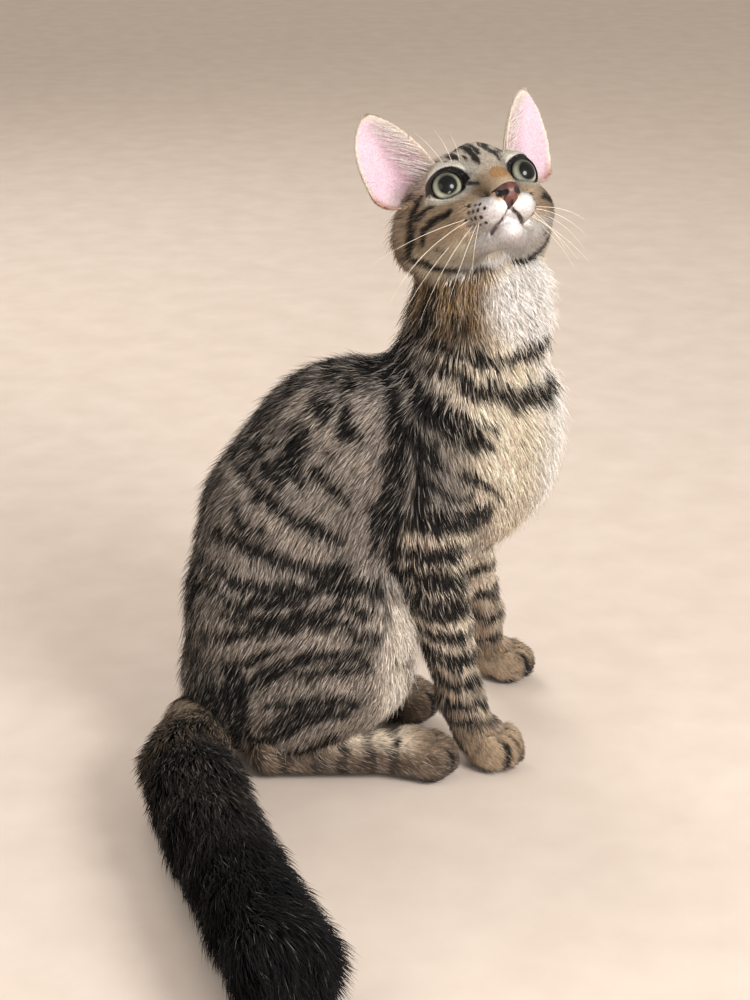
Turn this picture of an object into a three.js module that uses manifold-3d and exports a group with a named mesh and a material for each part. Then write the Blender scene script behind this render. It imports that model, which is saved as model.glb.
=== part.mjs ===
// A seated young cat, life size. Millimetres, +Z up, the floor at z = 0.
// The body faces +X, the head is turned to the cat's right (-Y) and looks up, the tail lies along the floor to -Y.
// The body is one blended surface, described by round solids, and is then parted into named pieces by thin cuts.
import * as THREE from 'three';
import Module from 'manifold-3d';

const wasm = await Module();
wasm.setup();

// ---------------------------------------------------------------- driving sizes
const GAP = 0.3;                 // width of each cut between two pieces
const CELL = 5.0;                // facets at the muzzle and toes; twice that on the head, four times on the trunk
const LEVELS = 2;                // depth of the tree of cubes

// trunk stations: centre x, y, z, radius seen from the side, half width over that radius
const TRUNK = {
  rump: [-58, -16, 51.5, 52.5, 0.84],
  loin: [-51, -15, 98, 52, 0.86],
  waist: [-37, -12, 138, 57.5, 0.78],
  ribs: [-8, -6, 164, 64.5, 0.70],
  chest: [40, 4, 172, 59, 0.70],
};
// tail stations: centre x, y, z, radius
const TAIL = [[-86, -12, 36, 23], [-97, -42, 26, 23], [-101, -78, 26, 26], [-93, -114, 28.5, 29], [-83, -152, 28.5, 29],
  [-70, -190, 28, 28.5], [-57, -228, 28.5, 29], [-45, -262, 29, 29.5], [-37, -290, 24, 24]];
const HEAD_AT = [57.9, -14.0, 329.3];        // midway between the eyes
const HEAD_TURN = [-69.9, -26.2, 5.2];       // yaw, pitch, roll, degrees
const EYE = { radius: 9.6, at: [-8.2, 20.5, 0], yaw: 14, pitch: 4, halfWidth: 8.5, halfHeight: 7.1, lid: 1.1 };
const EAR = { inner: [-15, 20.5, 20], outer: [-32, 48.5, -2], tip: [-27, 47, 49], cup: 12.5, thick: 3.2 };
const NOSE = { at: [20.0, 0, -11.6], half: [6.0, 6.8, 6.0] };

// ---------------------------------------------------------------- small vector tools
const rad = (d) => d * Math.PI / 180;
const sub = (a, b) => [a[0] - b[0], a[1] - b[1], a[2] - b[2]];
const add = (a, b) => [a[0] + b[0], a[1] + b[1], a[2] + b[2]];
const mul = (a, k) => [a[0] * k, a[1] * k, a[2] * k];
const dot = (a, b) => a[0] * b[0] + a[1] * b[1] + a[2] * b[2];
const cross = (a, b) => [a[1] * b[2] - a[2] * b[1], a[2] * b[0] - a[0] * b[2], a[0] * b[1] - a[1] * b[0]];
const unit = (a) => mul(a, 1 / Math.hypot(...a));
const mid = (a, b) => mul(add(a, b), 0.5);
const near = (p, c, r) => Math.hypot(...sub(p, c)) < r;
const clamp = (x, a, b) => Math.min(b, Math.max(a, x));

/** columns of the rotation: roll about x, then pitch about y, then yaw about z */
function turned([yaw, pitch, roll]) {
  const e = new THREE.Euler(rad(roll), rad(pitch), rad(yaw), 'ZYX');
  const m = new THREE.Matrix4().makeRotationFromEuler(e).elements;
  return [[m[0], m[1], m[2]], [m[4], m[5], m[6]], [m[8], m[9], m[10]]];
}
const HEAD = turned(HEAD_TURN);
const headToBody = (p) => add(HEAD_AT, add(mul(HEAD[0], p[0]), add(mul(HEAD[1], p[1]), mul(HEAD[2], p[2]))));
const bodyToHead = (p) => { const q = sub(p, HEAD_AT); return [dot(q, HEAD[0]), dot(q, HEAD[1]), dot(q, HEAD[2])]; };

// ---------------------------------------------------------------- the round solids
/** signed distance to a cone with rounded ends, widened sideways (y) by wide */
function cone(a, ra, b, rb, blend, wide = 1) {
  const A = [a[0], a[1] / wide, a[2]], B = [b[0], b[1] / wide, b[2]];
  const ba = sub(B, A), l2 = dot(ba, ba), rr = ra - rb, a2 = l2 - rr * rr, il2 = 1 / l2, k0 = 0.5 + 0.5 * wide;
  return {
    blend,
    d(p) {
      const pa = [p[0] - A[0], p[1] / wide - A[1], p[2] - A[2]];
      const y = dot(pa, ba), z = y - l2;
      const w = [pa[0] * l2 - ba[0] * y, pa[1] * l2 - ba[1] * y, pa[2] * l2 - ba[2] * y];
      const x2 = dot(w, w), y2 = y * y * l2, z2 = z * z * l2, k = Math.sign(rr) * rr * rr * x2;
      if (Math.sign(z) * a2 * z2 > k) return (Math.sqrt(x2 + z2) * il2 - rb) * k0;
      if (Math.sign(y) * a2 * y2 < k) return (Math.sqrt(x2 + y2) * il2 - ra) * k0;
      return ((Math.sqrt(x2 * a2 * il2) + y * rr) * il2 - ra) * k0;
    },
  };
}
/** signed distance, nearly, to an ellipsoid */
function ball(c, r, blend, turn = [0, 0, 0]) {
  const M = turned(turn);
  return {
    blend,
    d(p) {
      const q = sub(p, c), u = [dot(q, M[0]), dot(q, M[1]), dot(q, M[2])];
      const k0 = Math.hypot(u[0] / r[0], u[1] / r[1], u[2] / r[2]);
      const k1 = Math.hypot(u[0] / (r[0] * r[0]), u[1] / (r[1] * r[1]), u[2] / (r[2] * r[2]));
      return k0 * (k0 - 1) / Math.max(k1, 1e-9);
    },
  };
}
const inHead = (s) => ({ ...s, head: true });

/** four toes round a pad; at is the middle of the foot on the floor */
function paw(at, heading, size, up) {
  const h = rad(heading), out = [];
  const X = [Math.cos(h), Math.sin(h), 0], Y = [-Math.sin(h), Math.cos(h), 0];
  const P = (x, y, z) => [at[0] + size * (x * X[0] + y * Y[0]), at[1] + size * (x * X[1] + y * Y[1]), z * up * size];
  out.push(ball(P(-4, 0, 12), [15 * size, 13.5 * size, 13 * up * size], 5, [heading, 0, 0]));
  out.push(ball(P(3.5, 0, 5.5), [16 * size, 14 * size, 6.5 * size], 3, [heading, 0, 0]));   // sole
  for (const [y, x] of [[-9.8, 6], [-3.5, 10.5], [3.5, 10.5], [9.8, 6]]) {
    out.push(ball(P(x, y, 9.6), [10.5 * size, 5.6 * size, 10.4 * up * size], 1.6, [heading - 0.5 * y, 12, 0]));
  }
  return out;
}

function trunk() {
  const s = Object.values(TRUNK), out = [];
  for (let i = 0; i + 1 < s.length; i++) {
    out.push(cone(s[i].slice(0, 3), s[i][3], s[i + 1].slice(0, 3), s[i + 1][3], 14, (s[i][4] + s[i + 1][4]) / 2));
  }
  out.push(ball([78, 8, 186], [22, 26, 42], 16, [0, 14, 0]));       // breast
  out.push(cone([20, -4, 120], 34, [-20, -14, 60], 30, 16));        // belly
  return out;
}
function neck() {
  return [cone([48, 3, 200], 48, [58, 9, 262], 37, 14, 0.88), cone([58, 9, 256], 37, [52, 13, 290], 32, 10, 0.92)];
}
function head() {
  const out = [];
  out.push(ball([-33, 0, -4], [38, 35, 28.5], 10));                 // cranium
  out.push(cone([-48, 0, -14], 29, [-38, 0, -26], 27, 14));         // nape and throat
  for (const s of [-1, 1]) {
    out.push(ball([-35, 26 * s, -19], [20, 21, 23], 12));           // ruff behind the jaw
    out.push(ball([-17, 23 * s, -17], [21, 16.5, 18], 10));         // cheek
    out.push(ball([-9, 17 * s, 8.5], [12, 11, 6.2], 8));            // brow
    out.push(ball([-3, 16 * s, -12], [13, 13, 9], 8));              // under the eye
    out.push(cone([-24, 18 * s, -29], 10, [3, 6 * s, -32], 7, 9));  // jaw
  }
  out.push(cone([-12, 0, 9], 13.5, [-2, 0, 4.5], 10, 7));           // root of the nose
  out.push(cone([-2, 0, 4.5], 10, [15.5, 0, -7.3], 7.4, 5));        // bridge of the nose
  out.push(ball(NOSE.at, NOSE.half, 3));
  for (const s of [-1, 1]) out.push(ball([8.5, 8.2 * s, -19], [14.5, 10, 8.6], 5));   // whisker pad
  out.push(ball([8.5, 0, -31], [9.5, 8.5, 7.2], 4.5));              // chin
  for (const s of [-1, 1]) {                                        // lids over the eyeball
    const r = EYE.radius + EYE.lid;
    out.push(ball([EYE.at[0], s * EYE.at[1], EYE.at[2]], [r, r, r], 3));
  }
  return out.map(inHead);
}
function foreleg(s) {
  if (s < 0) {
    return [ball([34, -29, 172], [33, 20, 46], 14, [0, 18, 0]), cone([28, -35, 150], 22, [33, -38, 108], 18.5, 12),
      cone([33, -38, 108], 18.5, [47, -36, 45], 14.2, 6), cone([47, -36, 45], 14.2, [55, -33, 22], 13.6, 6),
      ...paw([64, -33, 0], -34, 1.02, 1.17)];
  }
  return [ball([42, 28, 172], [33, 20, 46], 14, [0, 18, 0]), cone([42, 34, 150], 22, [51, 46, 110], 18, 12),
    cone([51, 46, 110], 18, [64, 68, 48], 13.8, 6), cone([64, 68, 48], 13.8, [66, 75, 22], 13.2, 6),
    ...paw([77, 77, 0], -10, 1.0, 1.12)];
}
const HIND = { right: { s: -1, y: -42, foot: -46, toe: 45 }, left: { s: 1, y: 12, foot: 22, toe: 36 } };
const hindleg = ({ s, y, foot }) => [ball([-28, y, 78], [52, 25, 60], 10, [0, 14, 0]),
  cone([-10, y - 2 * s, 62], 30, [-40, foot, 34], 22, 10, 0.8)];
const hindpaw = ({ foot, toe }) => [cone([-58, foot, 14], 13.6, [toe - 24, foot, 14.5], 13.4, 6), ...paw([toe - 20, foot, 0], 0, 1.06, 1.12)];
function tail() {
  return TAIL.slice(1).map((q, i) => cone(TAIL[i].slice(0, 3), TAIL[i][3], q.slice(0, 3), q[3], 3));
}

const softMin = (a, b, k) => { const h = clamp(0.5 + 0.5 * (b - a) / k, 0, 1); return b * (1 - h) + a * h - k * h * (1 - h); };
const field = (solids) => (p) => {
  const q = bodyToHead(p);
  let d = Infinity;
  for (const s of solids) { const e = s.d(s.head ? q : p); d = d === Infinity ? e : softMin(d, e, s.blend); }
  return d;
};

// ---------------------------------------------------------------- facets of a blended surface, on a tree of cubes
function facets(f, low, high, fine, levels, wanted, round = 0) {
  const key = (x, y, z) => (x * 4096 + y) * 4096 + z;
  const at = (x, y, z) => [low[0] + x * fine, low[1] + y * fine, low[2] + z * fine];
  const tree = Array.from({ length: levels + 1 }, () => new Map());
  const leaves = [];
  const visit = (x, y, z, level) => {
    const s = 1 << level, c = at(x + s / 2, y + s / 2, z + s / 2);
    if (Math.abs(f(c)) > 1.7 * s * fine + fine) return;
    if (level > 0 && wanted(c) < s * fine * 0.99) {
      for (let i = 0; i < 8; i++) visit(x + (i & 1) * s / 2, y + (i >> 1 & 1) * s / 2, z + (i >> 2) * s / 2, level - 1);
      return;
    }
    tree[level].set(key(x, y, z), leaves.length);
    leaves.push({ x, y, z, level, sum: [0, 0, 0], n: 0 });
  };
  const top = 1 << levels, n = [0, 1, 2].map((i) => Math.ceil((high[i] - low[i]) / (fine * top)));
  for (let i = 0; i < n[0]; i++) for (let j = 0; j < n[1]; j++) for (let k = 0; k < n[2]; k++) visit(i * top, j * top, k * top, levels);

  const values = new Map();
  const value = (x, y, z) => { const k = key(x, y, z); let v = values.get(k); if (v === undefined) { v = f(at(x, y, z)); values.set(k, v); } return v; };
  const holder = (x, y, z) => {
    for (let l = 0; l <= levels; l++) {
      const s = 1 << l, id = tree[l].get(key(Math.floor(x / s) * s, Math.floor(y / s) * s, Math.floor(z / s) * s));
      if (id !== undefined) return id;
    }
    return -1;
  };
  const seen = new Set(), faces = [];
  for (const leaf of [...leaves]) {
    const s = 1 << leaf.level;
    for (let axis = 0; axis < 3; axis++) {
      const u = (axis + 1) % 3, v = (axis + 2) % 3;
      for (const du of [0, s]) for (const dv of [0, s]) {
        const a = [leaf.x, leaf.y, leaf.z]; a[u] += du; a[v] += dv;
        const k = (key(...a) * 3 + axis) * 4 + leaf.level;
        if (seen.has(k)) continue;
        seen.add(k);
        const b = [...a]; b[axis] += s;
        const fa = value(...a), fb = value(...b);
        if ((fa < 0) === (fb < 0)) continue;
        const m = [...a]; m[axis] += s / 2;
        const ids = [[-0.5, -0.5], [0.5, -0.5], [0.5, 0.5], [-0.5, 0.5]].map(([i, j]) => { const q = [...m]; q[u] += i; q[v] += j; return holder(...q); });
        if (ids.some((id) => id >= 0 && leaves[id].level < leaf.level)) continue;
        if (ids.some((id) => id < 0)) throw new Error('the tree of cubes is open');
        const t = fa / (fa - fb), p = at(a[0] + (axis === 0 ? s * t : 0), a[1] + (axis === 1 ? s * t : 0), a[2] + (axis === 2 ? s * t : 0));
        for (const id of ids) { leaves[id].sum = add(leaves[id].sum, p); leaves[id].n++; }
        faces.push(fa > 0 ? ids.reverse() : ids);
      }
    }
  }
  const normal = (p, e = 0.4) => {
    let g = [0, 0, 0];
    for (const t of [[1, -1, -1], [-1, -1, 1], [-1, 1, -1], [1, 1, 1]]) g = add(g, mul(t, f(add(p, mul(t, e)))));
    return mul(g, 1 / (4 * e));
  };
  const index = new Map(), points = [], normals = [];
  for (const [id, leaf] of leaves.entries()) {
    if (!leaf.n) continue;
    let p = mul(leaf.sum, 1 / leaf.n), g;
    for (let i = 0; i < 3; i++) {
      g = normal(p);
      const step = -f(p) / Math.max(dot(g, g), 1e-4), far = Math.hypot(...g) * Math.abs(step), lim = 0.45 * (1 << leaf.level) * fine;
      p = add(p, mul(g, step * Math.min(1, lim / Math.max(far, 1e-9))));
      const w = (1 << leaf.level) * fine, c = at(leaf.x, leaf.y, leaf.z);
      p = p.map((v, j) => clamp(v, c[j] + 0.06 * w, c[j] + 0.94 * w));   // a corner stays in its own cube
    }
    index.set(id, points.length); points.push(p); normals.push(unit(normal(p)));
  }
  const tris = [], used = new Set();
  const far = (i, j) => Math.hypot(...sub(points[i], points[j]));
  const edge = (i, j) => Math.min(i, j) * 1e6 + Math.max(i, j);
  const rings = faces.map((face) => face.map((id) => index.get(id)).filter((id, i, all) => id !== all[(i + 1) % all.length]));
  for (const q of rings) q.forEach((id, i) => used.add(edge(id, q[(i + 1) % q.length])));
  for (const q of rings) {
    if (q.length === 3) tris.push(q);
    if (q.length !== 4) continue;
    let first = far(q[0], q[2]) < far(q[1], q[3]);
    if (used.has(first ? edge(q[0], q[2]) : edge(q[1], q[3]))) first = !first;   // two facets never share a diagonal
    used.add(first ? edge(q[0], q[2]) : edge(q[1], q[3]));
    if (first) tris.push([q[0], q[1], q[2]], [q[0], q[2], q[3]]);
    else tris.push([q[0], q[1], q[3]], [q[1], q[2], q[3]]);
  }
  // an edge that four facets share pinches the surface: the cubes are moved a little and the surface is faceted afresh
  const shared = new Map();
  for (const t of tris) for (let i = 0; i < 3; i++) {
    const k = edge(t[i], t[(i + 1) % 3]);
    shared.set(k, (shared.get(k) ?? 0) + 1);
  }
  const pinched = [...shared.values()].some((n) => n !== 2);
  if (pinched && round < 24) return facets(f, low.map((v, i) => v - CELL * [0.19, 0.13, 0.07][i]), high, fine, levels, wanted, round + 1);
  return { points, normals, tris };
}

// ---------------------------------------------------------------- joining and cutting
function toSolid(points, tris) {
  return new wasm.Manifold(new wasm.Mesh({ numProp: 3, vertProperties: new Float32Array(points.flat()), triVerts: new Uint32Array(tris.flat()) }));
}
/** the same facets, moved out by d */
const swollen = (m, d = 0) => toSolid(m.points.map((p, i) => add(p, mul(m.normals[i], d))), m.tris);
function fromGeometry(geometry, matrix) {
  const g = geometry.index ? geometry.toNonIndexed() : geometry, pos = g.attributes.position;
  if (matrix) pos.applyMatrix4(matrix);
  const points = [], tris = [], seen = new Map();
  for (let i = 0; i < pos.count; i += 3) {
    const t = [0, 1, 2].map((j) => {
      const p = [pos.getX(i + j), pos.getY(i + j), pos.getZ(i + j)], k = p.map((v) => Math.round(v * 1e4)).join();
      if (!seen.has(k)) { seen.set(k, points.length); points.push(p); }
      return seen.get(k);
    });
    if (t[0] !== t[1] && t[1] !== t[2] && t[0] !== t[2]) tris.push(t);
  }
  return toSolid(points, tris);
}
const box = (low, high, grow = 0) => {
  const size = sub(high, low).map((v) => v + 2 * grow), c = mid(low, high);
  return fromGeometry(new THREE.BoxGeometry(...size), new THREE.Matrix4().makeTranslation(...c));
};
const egg = (c, r, grow = 0, wide = 14, high = 10) => {
  const m = new THREE.Matrix4().makeTranslation(...c).scale(new THREE.Vector3(r[0] + grow, r[1] + grow, r[2] + grow));
  return fromGeometry(new THREE.SphereGeometry(1, wide, high), m);
};
/** a slab across Y whose outline in side view is the convex polygon [x, z] */
function side(outline, y0, y1, grow = 0) {
  const n = outline.length, edge = outline.map((p, i) => {
    const q = outline[(i + 1) % n], l = Math.hypot(q[0] - p[0], q[1] - p[1]), nx = (q[1] - p[1]) / l, nz = -(q[0] - p[0]) / l;
    return { nx, nz, c: nx * p[0] + nz * p[1] + grow };
  });
  const pts = edge.map((e, i) => {
    const g = edge[(i + n - 1) % n], D = e.nx * g.nz - e.nz * g.nx;
    return [(e.c * g.nz - e.nz * g.c) / D, (e.nx * g.c - e.c * g.nx) / D];
  });
  const points = [...pts.map(([x, z]) => [x, y0 - grow, z]), ...pts.map(([x, z]) => [x, y1 + grow, z])], tris = [];
  for (let i = 1; i + 1 < n; i++) tris.push([0, i, i + 1], [n, n + i + 1, n + i]);
  for (let i = 0; i < n; i++) { const j = (i + 1) % n; tris.push([i, n + i, n + j], [i, n + j, j]); }
  return toSolid(points, tris);
}
const largest = (solid) => solid.decompose().sort((a, b) => b.volume() - a.volume())[0];

// ---------------------------------------------------------------- the surfaces
function wantedBody(p) {
  const q = bodyToHead(p);
  if (near(q, [14, 0, -18], 25)) return CELL;
  if (near(q, [-14, 0, -6], 60)) return CELL * 2;
  if (p[2] < 30 && (near(p, [74, -42, 8], 22) || near(p, [86, 76, 8], 22))) return CELL;
  if (p[0] > 12 && p[2] < 128 && (p[1] < -18 || p[1] > 24)) return CELL * 2;
  return CELL * 4;
}
const wantedFoot = (p) => (p[0] > 20 ? CELL : CELL * 2);
const LOW = [-140.13, -330.07, -10.41], HIGH = [140, 130, 400];

const body = facets(field([...trunk(), ...neck(), ...head(), ...foreleg(-1), ...foreleg(1), ...hindleg(HIND.right), ...hindleg(HIND.left), ...tail()]),
  LOW, HIGH, CELL, LEVELS, wantedBody);
const floor = box([-400, -500, -100], [400, 400, 0]);
let rest = swollen(body).subtract(floor);
const bodySwollen = swollen(body, GAP);

const pieces = {};
const part = (name, solid) => { pieces[name] = largest(solid); };
/** takes what lies in the cutter out of the rest as one named piece */
function takeOut(name, cutter) {
  part(name, rest.intersect(cutter(0)));
  rest = rest.subtract(cutter(GAP));
}

// hind feet first: each is its own solid, sunk into the leg above it
for (const k of ['right', 'left']) {
  const foot = facets(field(hindpaw(HIND[k])), LOW, HIGH, CELL, LEVELS, wantedFoot);
  part(`hindpaw_${k}`, swollen(foot).subtract(floor));
  rest = rest.subtract(swollen(foot, GAP));
}
// tail in three lengths
const tailRoot = (g) => side([[-200, -60], [-74.5, -60], [-74.5, 56], [-200, 56]], -76, -43, g).add(box([-220, -420, -60], [100, -75, 120], g));
{
  let t = rest.intersect(tailRoot(0));
  rest = rest.subtract(tailRoot(GAP));
  const cuts = [['tail_tip', -235], ['tail_middle', -150], ['tail_base', 0]];
  for (const [name, y] of cuts) {
    const length = (g) => box([-300, -500, -60], [200, y, 120], g);
    part(name, t.intersect(length(0)));
    t = t.subtract(length(GAP));
  }
}
// forelegs, then their paws
takeOut('foreleg_right', (g) => side([[42.5, -20], [150, -20], [150, 128], [15.5, 128]], -200, -16, g));
takeOut('foreleg_left', (g) => side([[25, -20], [150, -20], [150, 128], [25, 128]], 13, 200, g));
for (const k of ['right', 'left']) {
  const whole = pieces[`foreleg_${k}`], cut = (g) => box([-50, -200, -50], [200, 200, 28.4], g);
  pieces[`forepaw_${k}`] = largest(whole.intersect(cut(0)));
  pieces[`foreleg_${k}`] = largest(whole.subtract(cut(GAP)));
}
// haunches
takeOut('hindleg_right', (g) => egg([-28, -63, 70], [53, 31, 70], g).add(box([-70, -120, -20], [22, -33, 30], g)));
takeOut('hindleg_left', (g) => egg([-28, 34, 70], [53, 31, 70], g).add(box([-70, 6, -20], [22, 120, 30], g)));
// head off the neck, neck off the trunk
const tilted = (at, pitch, roll, g) => fromGeometry(new THREE.BoxGeometry(600, 600, 400 + 2 * g),
  new THREE.Matrix4().makeTranslation(...at).multiply(new THREE.Matrix4().makeRotationFromEuler(new THREE.Euler(rad(roll), rad(pitch), 0, 'ZYX'))).multiply(new THREE.Matrix4().makeTranslation(0, 0, 200)));
takeOut('head', (g) => tilted([52, 5, 284], 4, 0, g));
takeOut('neck', (g) => tilted([56, 5, 236], 26, 0, g));
part('trunk', rest);

// ---------------------------------------------------------------- eyes, nose, ears
const headAxes = new THREE.Matrix4().makeBasis(...HEAD.map((v) => new THREE.Vector3(...v))).setPosition(...HEAD_AT);
for (const [name, s] of [['right', -1], ['left', 1]]) {
  const c = headToBody([EYE.at[0], s * EYE.at[1], EYE.at[2]]);
  const look = new THREE.Matrix4().multiplyMatrices(headAxes,
    new THREE.Matrix4().makeTranslation(EYE.at[0], s * EYE.at[1], EYE.at[2])
      .multiply(new THREE.Matrix4().makeRotationFromEuler(new THREE.Euler(0, -rad(EYE.pitch), s * rad(EYE.yaw), 'ZYX'))));
  const r = EYE.radius;
  const shape = (g, w = 18, h = 10) => fromGeometry(new THREE.SphereGeometry(r + g, w, h), look.clone());
  // the opening between the lids, an oval tunnel in front of the eyeball
  const tunnel = fromGeometry(new THREE.CylinderGeometry(1, 1, 30, 22), look.clone()
    .multiply(new THREE.Matrix4().makeTranslation(18, 0, 0))
    .multiply(new THREE.Matrix4().makeRotationZ(-Math.PI / 2))
    .multiply(new THREE.Matrix4().makeScale(EYE.halfWidth, 1, EYE.halfHeight)));
  pieces.head = pieces.head.subtract(shape(GAP)).subtract(tunnel);
  pieces[`eye_${name}`] = shape(0);
}
pieces.head = largest(pieces.head);

const noseCut = (g) => {
  const m = headAxes.clone().multiply(new THREE.Matrix4().makeTranslation(NOSE.at[0] + 2.6, 0, NOSE.at[2] + 0.4)
    .scale(new THREE.Vector3(4.4 + g, 6.2 + g, 5.2 + g)));
  return fromGeometry(new THREE.SphereGeometry(1, 12, 8), m);
};
{
  let nose = largest(pieces.head.intersect(noseCut(0)));
  pieces.head = largest(pieces.head.subtract(noseCut(GAP)));
  for (const s of [-1, 1]) {                                        // nostrils
    const m = headAxes.clone().multiply(new THREE.Matrix4().makeTranslation(NOSE.at[0] + 5.6, 3.9 * s, NOSE.at[2] - 1.0)
      .multiply(new THREE.Matrix4().makeRotationZ(s * 0.6)).scale(new THREE.Vector3(2.6, 1.5, 1.3)));
    nose = nose.subtract(fromGeometry(new THREE.SphereGeometry(1, 8, 6), m));
  }
  pieces.nose = largest(nose);
}

/** one ear: a leaf curved into a cup, thinner to its rim */
function ear(s) {
  const M = mid(EAR.inner, EAR.outer), W = unit(sub(EAR.tip, M)), L = Math.hypot(...sub(EAR.tip, M));
  const base = sub(EAR.outer, EAR.inner), V = unit(sub(base, mul(W, dot(base, W)))), N = cross(V, W);
  const rows = 9, cols = 8, pts = [];
  const place = (u, v, w) => { const q = add(M, add(mul(N, u), add(mul(V, v), mul(W, w)))); return headToBody([q[0], s * q[1], q[2]]); };
  for (const face of [1, -1]) {
    for (let i = 0; i <= rows; i++) {
      const w = -11 + (L + 10.7) * Math.sin((i / rows) * Math.PI / 2), h = clamp((w + 10) / (L + 10), 0, 1);
      const vo = 19.5 * (1 - clamp((w + 6) / (L + 6.5), 0, 1) ** 3) ** 0.62;
      const vi = -18 * (1 - clamp((w - 2) / (L - 1.5), 0, 1) ** 1.6) ** 0.66;
      const b = Math.max((vo - vi) / 2, 1), deep = EAR.cup * (1 - h) ** 0.7 * clamp(b / 14, 0, 1);
      for (let j = 0; j <= cols; j++) {
        const x = -Math.cos((j / cols) * Math.PI), t = EAR.thick * (0.34 + 0.66 * (1 - x ** 4) * (1 - h ** 6));
        const slope = Math.sqrt(1 + Math.min(4, (2 * deep * x / b) ** 2));
        pts.push(place(-deep * (1 - x * x) + 1.5 * (1 - h) - 3 * h * h + face * 0.5 * t * slope, (vo + vi) / 2 + x * b, w));
      }
    }
  }
  const C = cols + 1, half = C * (rows + 1), tris = [];
  const quad = (a, b, c, d) => tris.push([a, b, c], [a, c, d]);
  for (let i = 0; i < rows; i++) for (let j = 0; j < cols; j++) {
    const a = i * C + j;
    quad(a, a + 1, a + C + 1, a + C);
    quad(half + a, half + a + C, half + a + C + 1, half + a + 1);
  }
  for (let j = 0; j < cols; j++) {
    quad(j, half + j, half + j + 1, j + 1);
    const a = rows * C + j; quad(a, a + 1, half + a + 1, half + a);
  }
  for (let i = 0; i < rows; i++) {
    const a = i * C; quad(a, a + C, half + a + C, half + a);
    const b = i * C + cols; quad(b, half + b, half + b + C, b + C);
  }
  // V, W, N is right-handed for the cat's left ear and turned over for the right one
  return toSolid(pts, s > 0 ? tris : tris.map(([a, b, c]) => [a, c, b]));
}
for (const [name, s] of [['right', -1], ['left', 1]]) part(`ear_${name}`, ear(s).subtract(bodySwollen));

// ---------------------------------------------------------------- the scene graph
const LOOK = {   // colour, roughness
  head: ['#a08a6c', 0.85], neck: ['#b5a48b', 0.85], trunk: ['#75695a', 0.85], nose: ['#a5604f', 0.45],
  ear_right: ['#c9a3a8', 0.7], ear_left: ['#c9a3a8', 0.7], eye_right: ['#97a08a', 0.08], eye_left: ['#97a08a', 0.08],
  foreleg_right: ['#8c7f6c', 0.85], foreleg_left: ['#8c7f6c', 0.85], forepaw_right: ['#a1896a', 0.85], forepaw_left: ['#a1896a', 0.85],
  hindleg_right: ['#7d7060', 0.85], hindleg_left: ['#7d7060', 0.85], hindpaw_right: ['#98805f', 0.85], hindpaw_left: ['#98805f', 0.85],
  tail_base: ['#544a40', 0.85], tail_middle: ['#453c34', 0.85], tail_tip: ['#2f2925', 0.85],
};
const group = new THREE.Group();
const bounds = new THREE.Box3();
for (const [name, [colour, roughness]] of Object.entries(LOOK)) {
  const m = pieces[name].getMesh(), g = new THREE.BufferGeometry();
  const pos = new Float32Array(m.numVert * 3);
  for (let i = 0; i < m.numVert; i++) for (let j = 0; j < 3; j++) pos[3 * i + j] = m.vertProperties[i * m.numProp + j];
  g.setAttribute('position', new THREE.BufferAttribute(pos, 3));
  g.setIndex(new THREE.BufferAttribute(new Uint32Array(m.triVerts), 1));
  g.computeBoundingBox();
  bounds.union(g.boundingBox);
  const mesh = new THREE.Mesh(g, new THREE.MeshStandardMaterial({ color: colour, roughness, metalness: 0 }));
  mesh.name = name;
  group.add(mesh);
}
// the origin is the middle of the footprint, on the floor
const centre = bounds.getCenter(new THREE.Vector3());
for (const mesh of group.children) mesh.geometry.translate(-centre.x, -centre.y, -bounds.min.z);
for (const mesh of group.children) mesh.geometry.computeVertexNormals();

export default group;
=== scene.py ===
"""Looks of the seated tabby cat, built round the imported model. Shapes are in millimetres in a working frame (+X the way the body faces,
+Y the cat's left, +Z up, floor at 0) and are moved to the row frame in metres when they become objects."""
import bpy
import numpy as np
from mathutils import Matrix, Vector, kdtree


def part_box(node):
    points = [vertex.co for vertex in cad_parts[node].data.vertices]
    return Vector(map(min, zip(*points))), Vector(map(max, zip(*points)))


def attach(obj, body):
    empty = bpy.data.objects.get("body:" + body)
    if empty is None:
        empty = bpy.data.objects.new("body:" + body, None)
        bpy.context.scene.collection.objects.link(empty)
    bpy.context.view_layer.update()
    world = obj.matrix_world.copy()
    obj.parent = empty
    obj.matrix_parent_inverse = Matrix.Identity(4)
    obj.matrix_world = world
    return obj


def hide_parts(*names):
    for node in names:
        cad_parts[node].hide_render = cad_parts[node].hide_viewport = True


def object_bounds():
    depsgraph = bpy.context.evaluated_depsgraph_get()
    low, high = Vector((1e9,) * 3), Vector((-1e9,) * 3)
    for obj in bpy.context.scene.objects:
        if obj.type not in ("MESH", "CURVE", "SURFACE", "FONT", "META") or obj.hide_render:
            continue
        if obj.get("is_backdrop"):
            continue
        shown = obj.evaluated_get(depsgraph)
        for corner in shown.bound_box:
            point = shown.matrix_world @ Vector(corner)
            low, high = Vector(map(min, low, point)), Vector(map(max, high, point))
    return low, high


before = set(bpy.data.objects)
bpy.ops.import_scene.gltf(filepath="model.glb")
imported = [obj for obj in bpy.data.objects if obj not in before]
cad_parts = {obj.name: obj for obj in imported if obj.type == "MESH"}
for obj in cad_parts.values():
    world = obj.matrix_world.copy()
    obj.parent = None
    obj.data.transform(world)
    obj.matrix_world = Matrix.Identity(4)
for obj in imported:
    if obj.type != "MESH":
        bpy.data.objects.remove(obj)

CAD_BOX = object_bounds()
rng = np.random.default_rng(11)


# ---------------------------------------------------------------- small maths
def unit(v):
    v = np.asarray(v, float)
    return v / max(np.linalg.norm(v), 1e-12)


def units(V):
    return V / np.maximum(np.linalg.norm(V, axis=1), 1e-9)[:, None]


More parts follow.
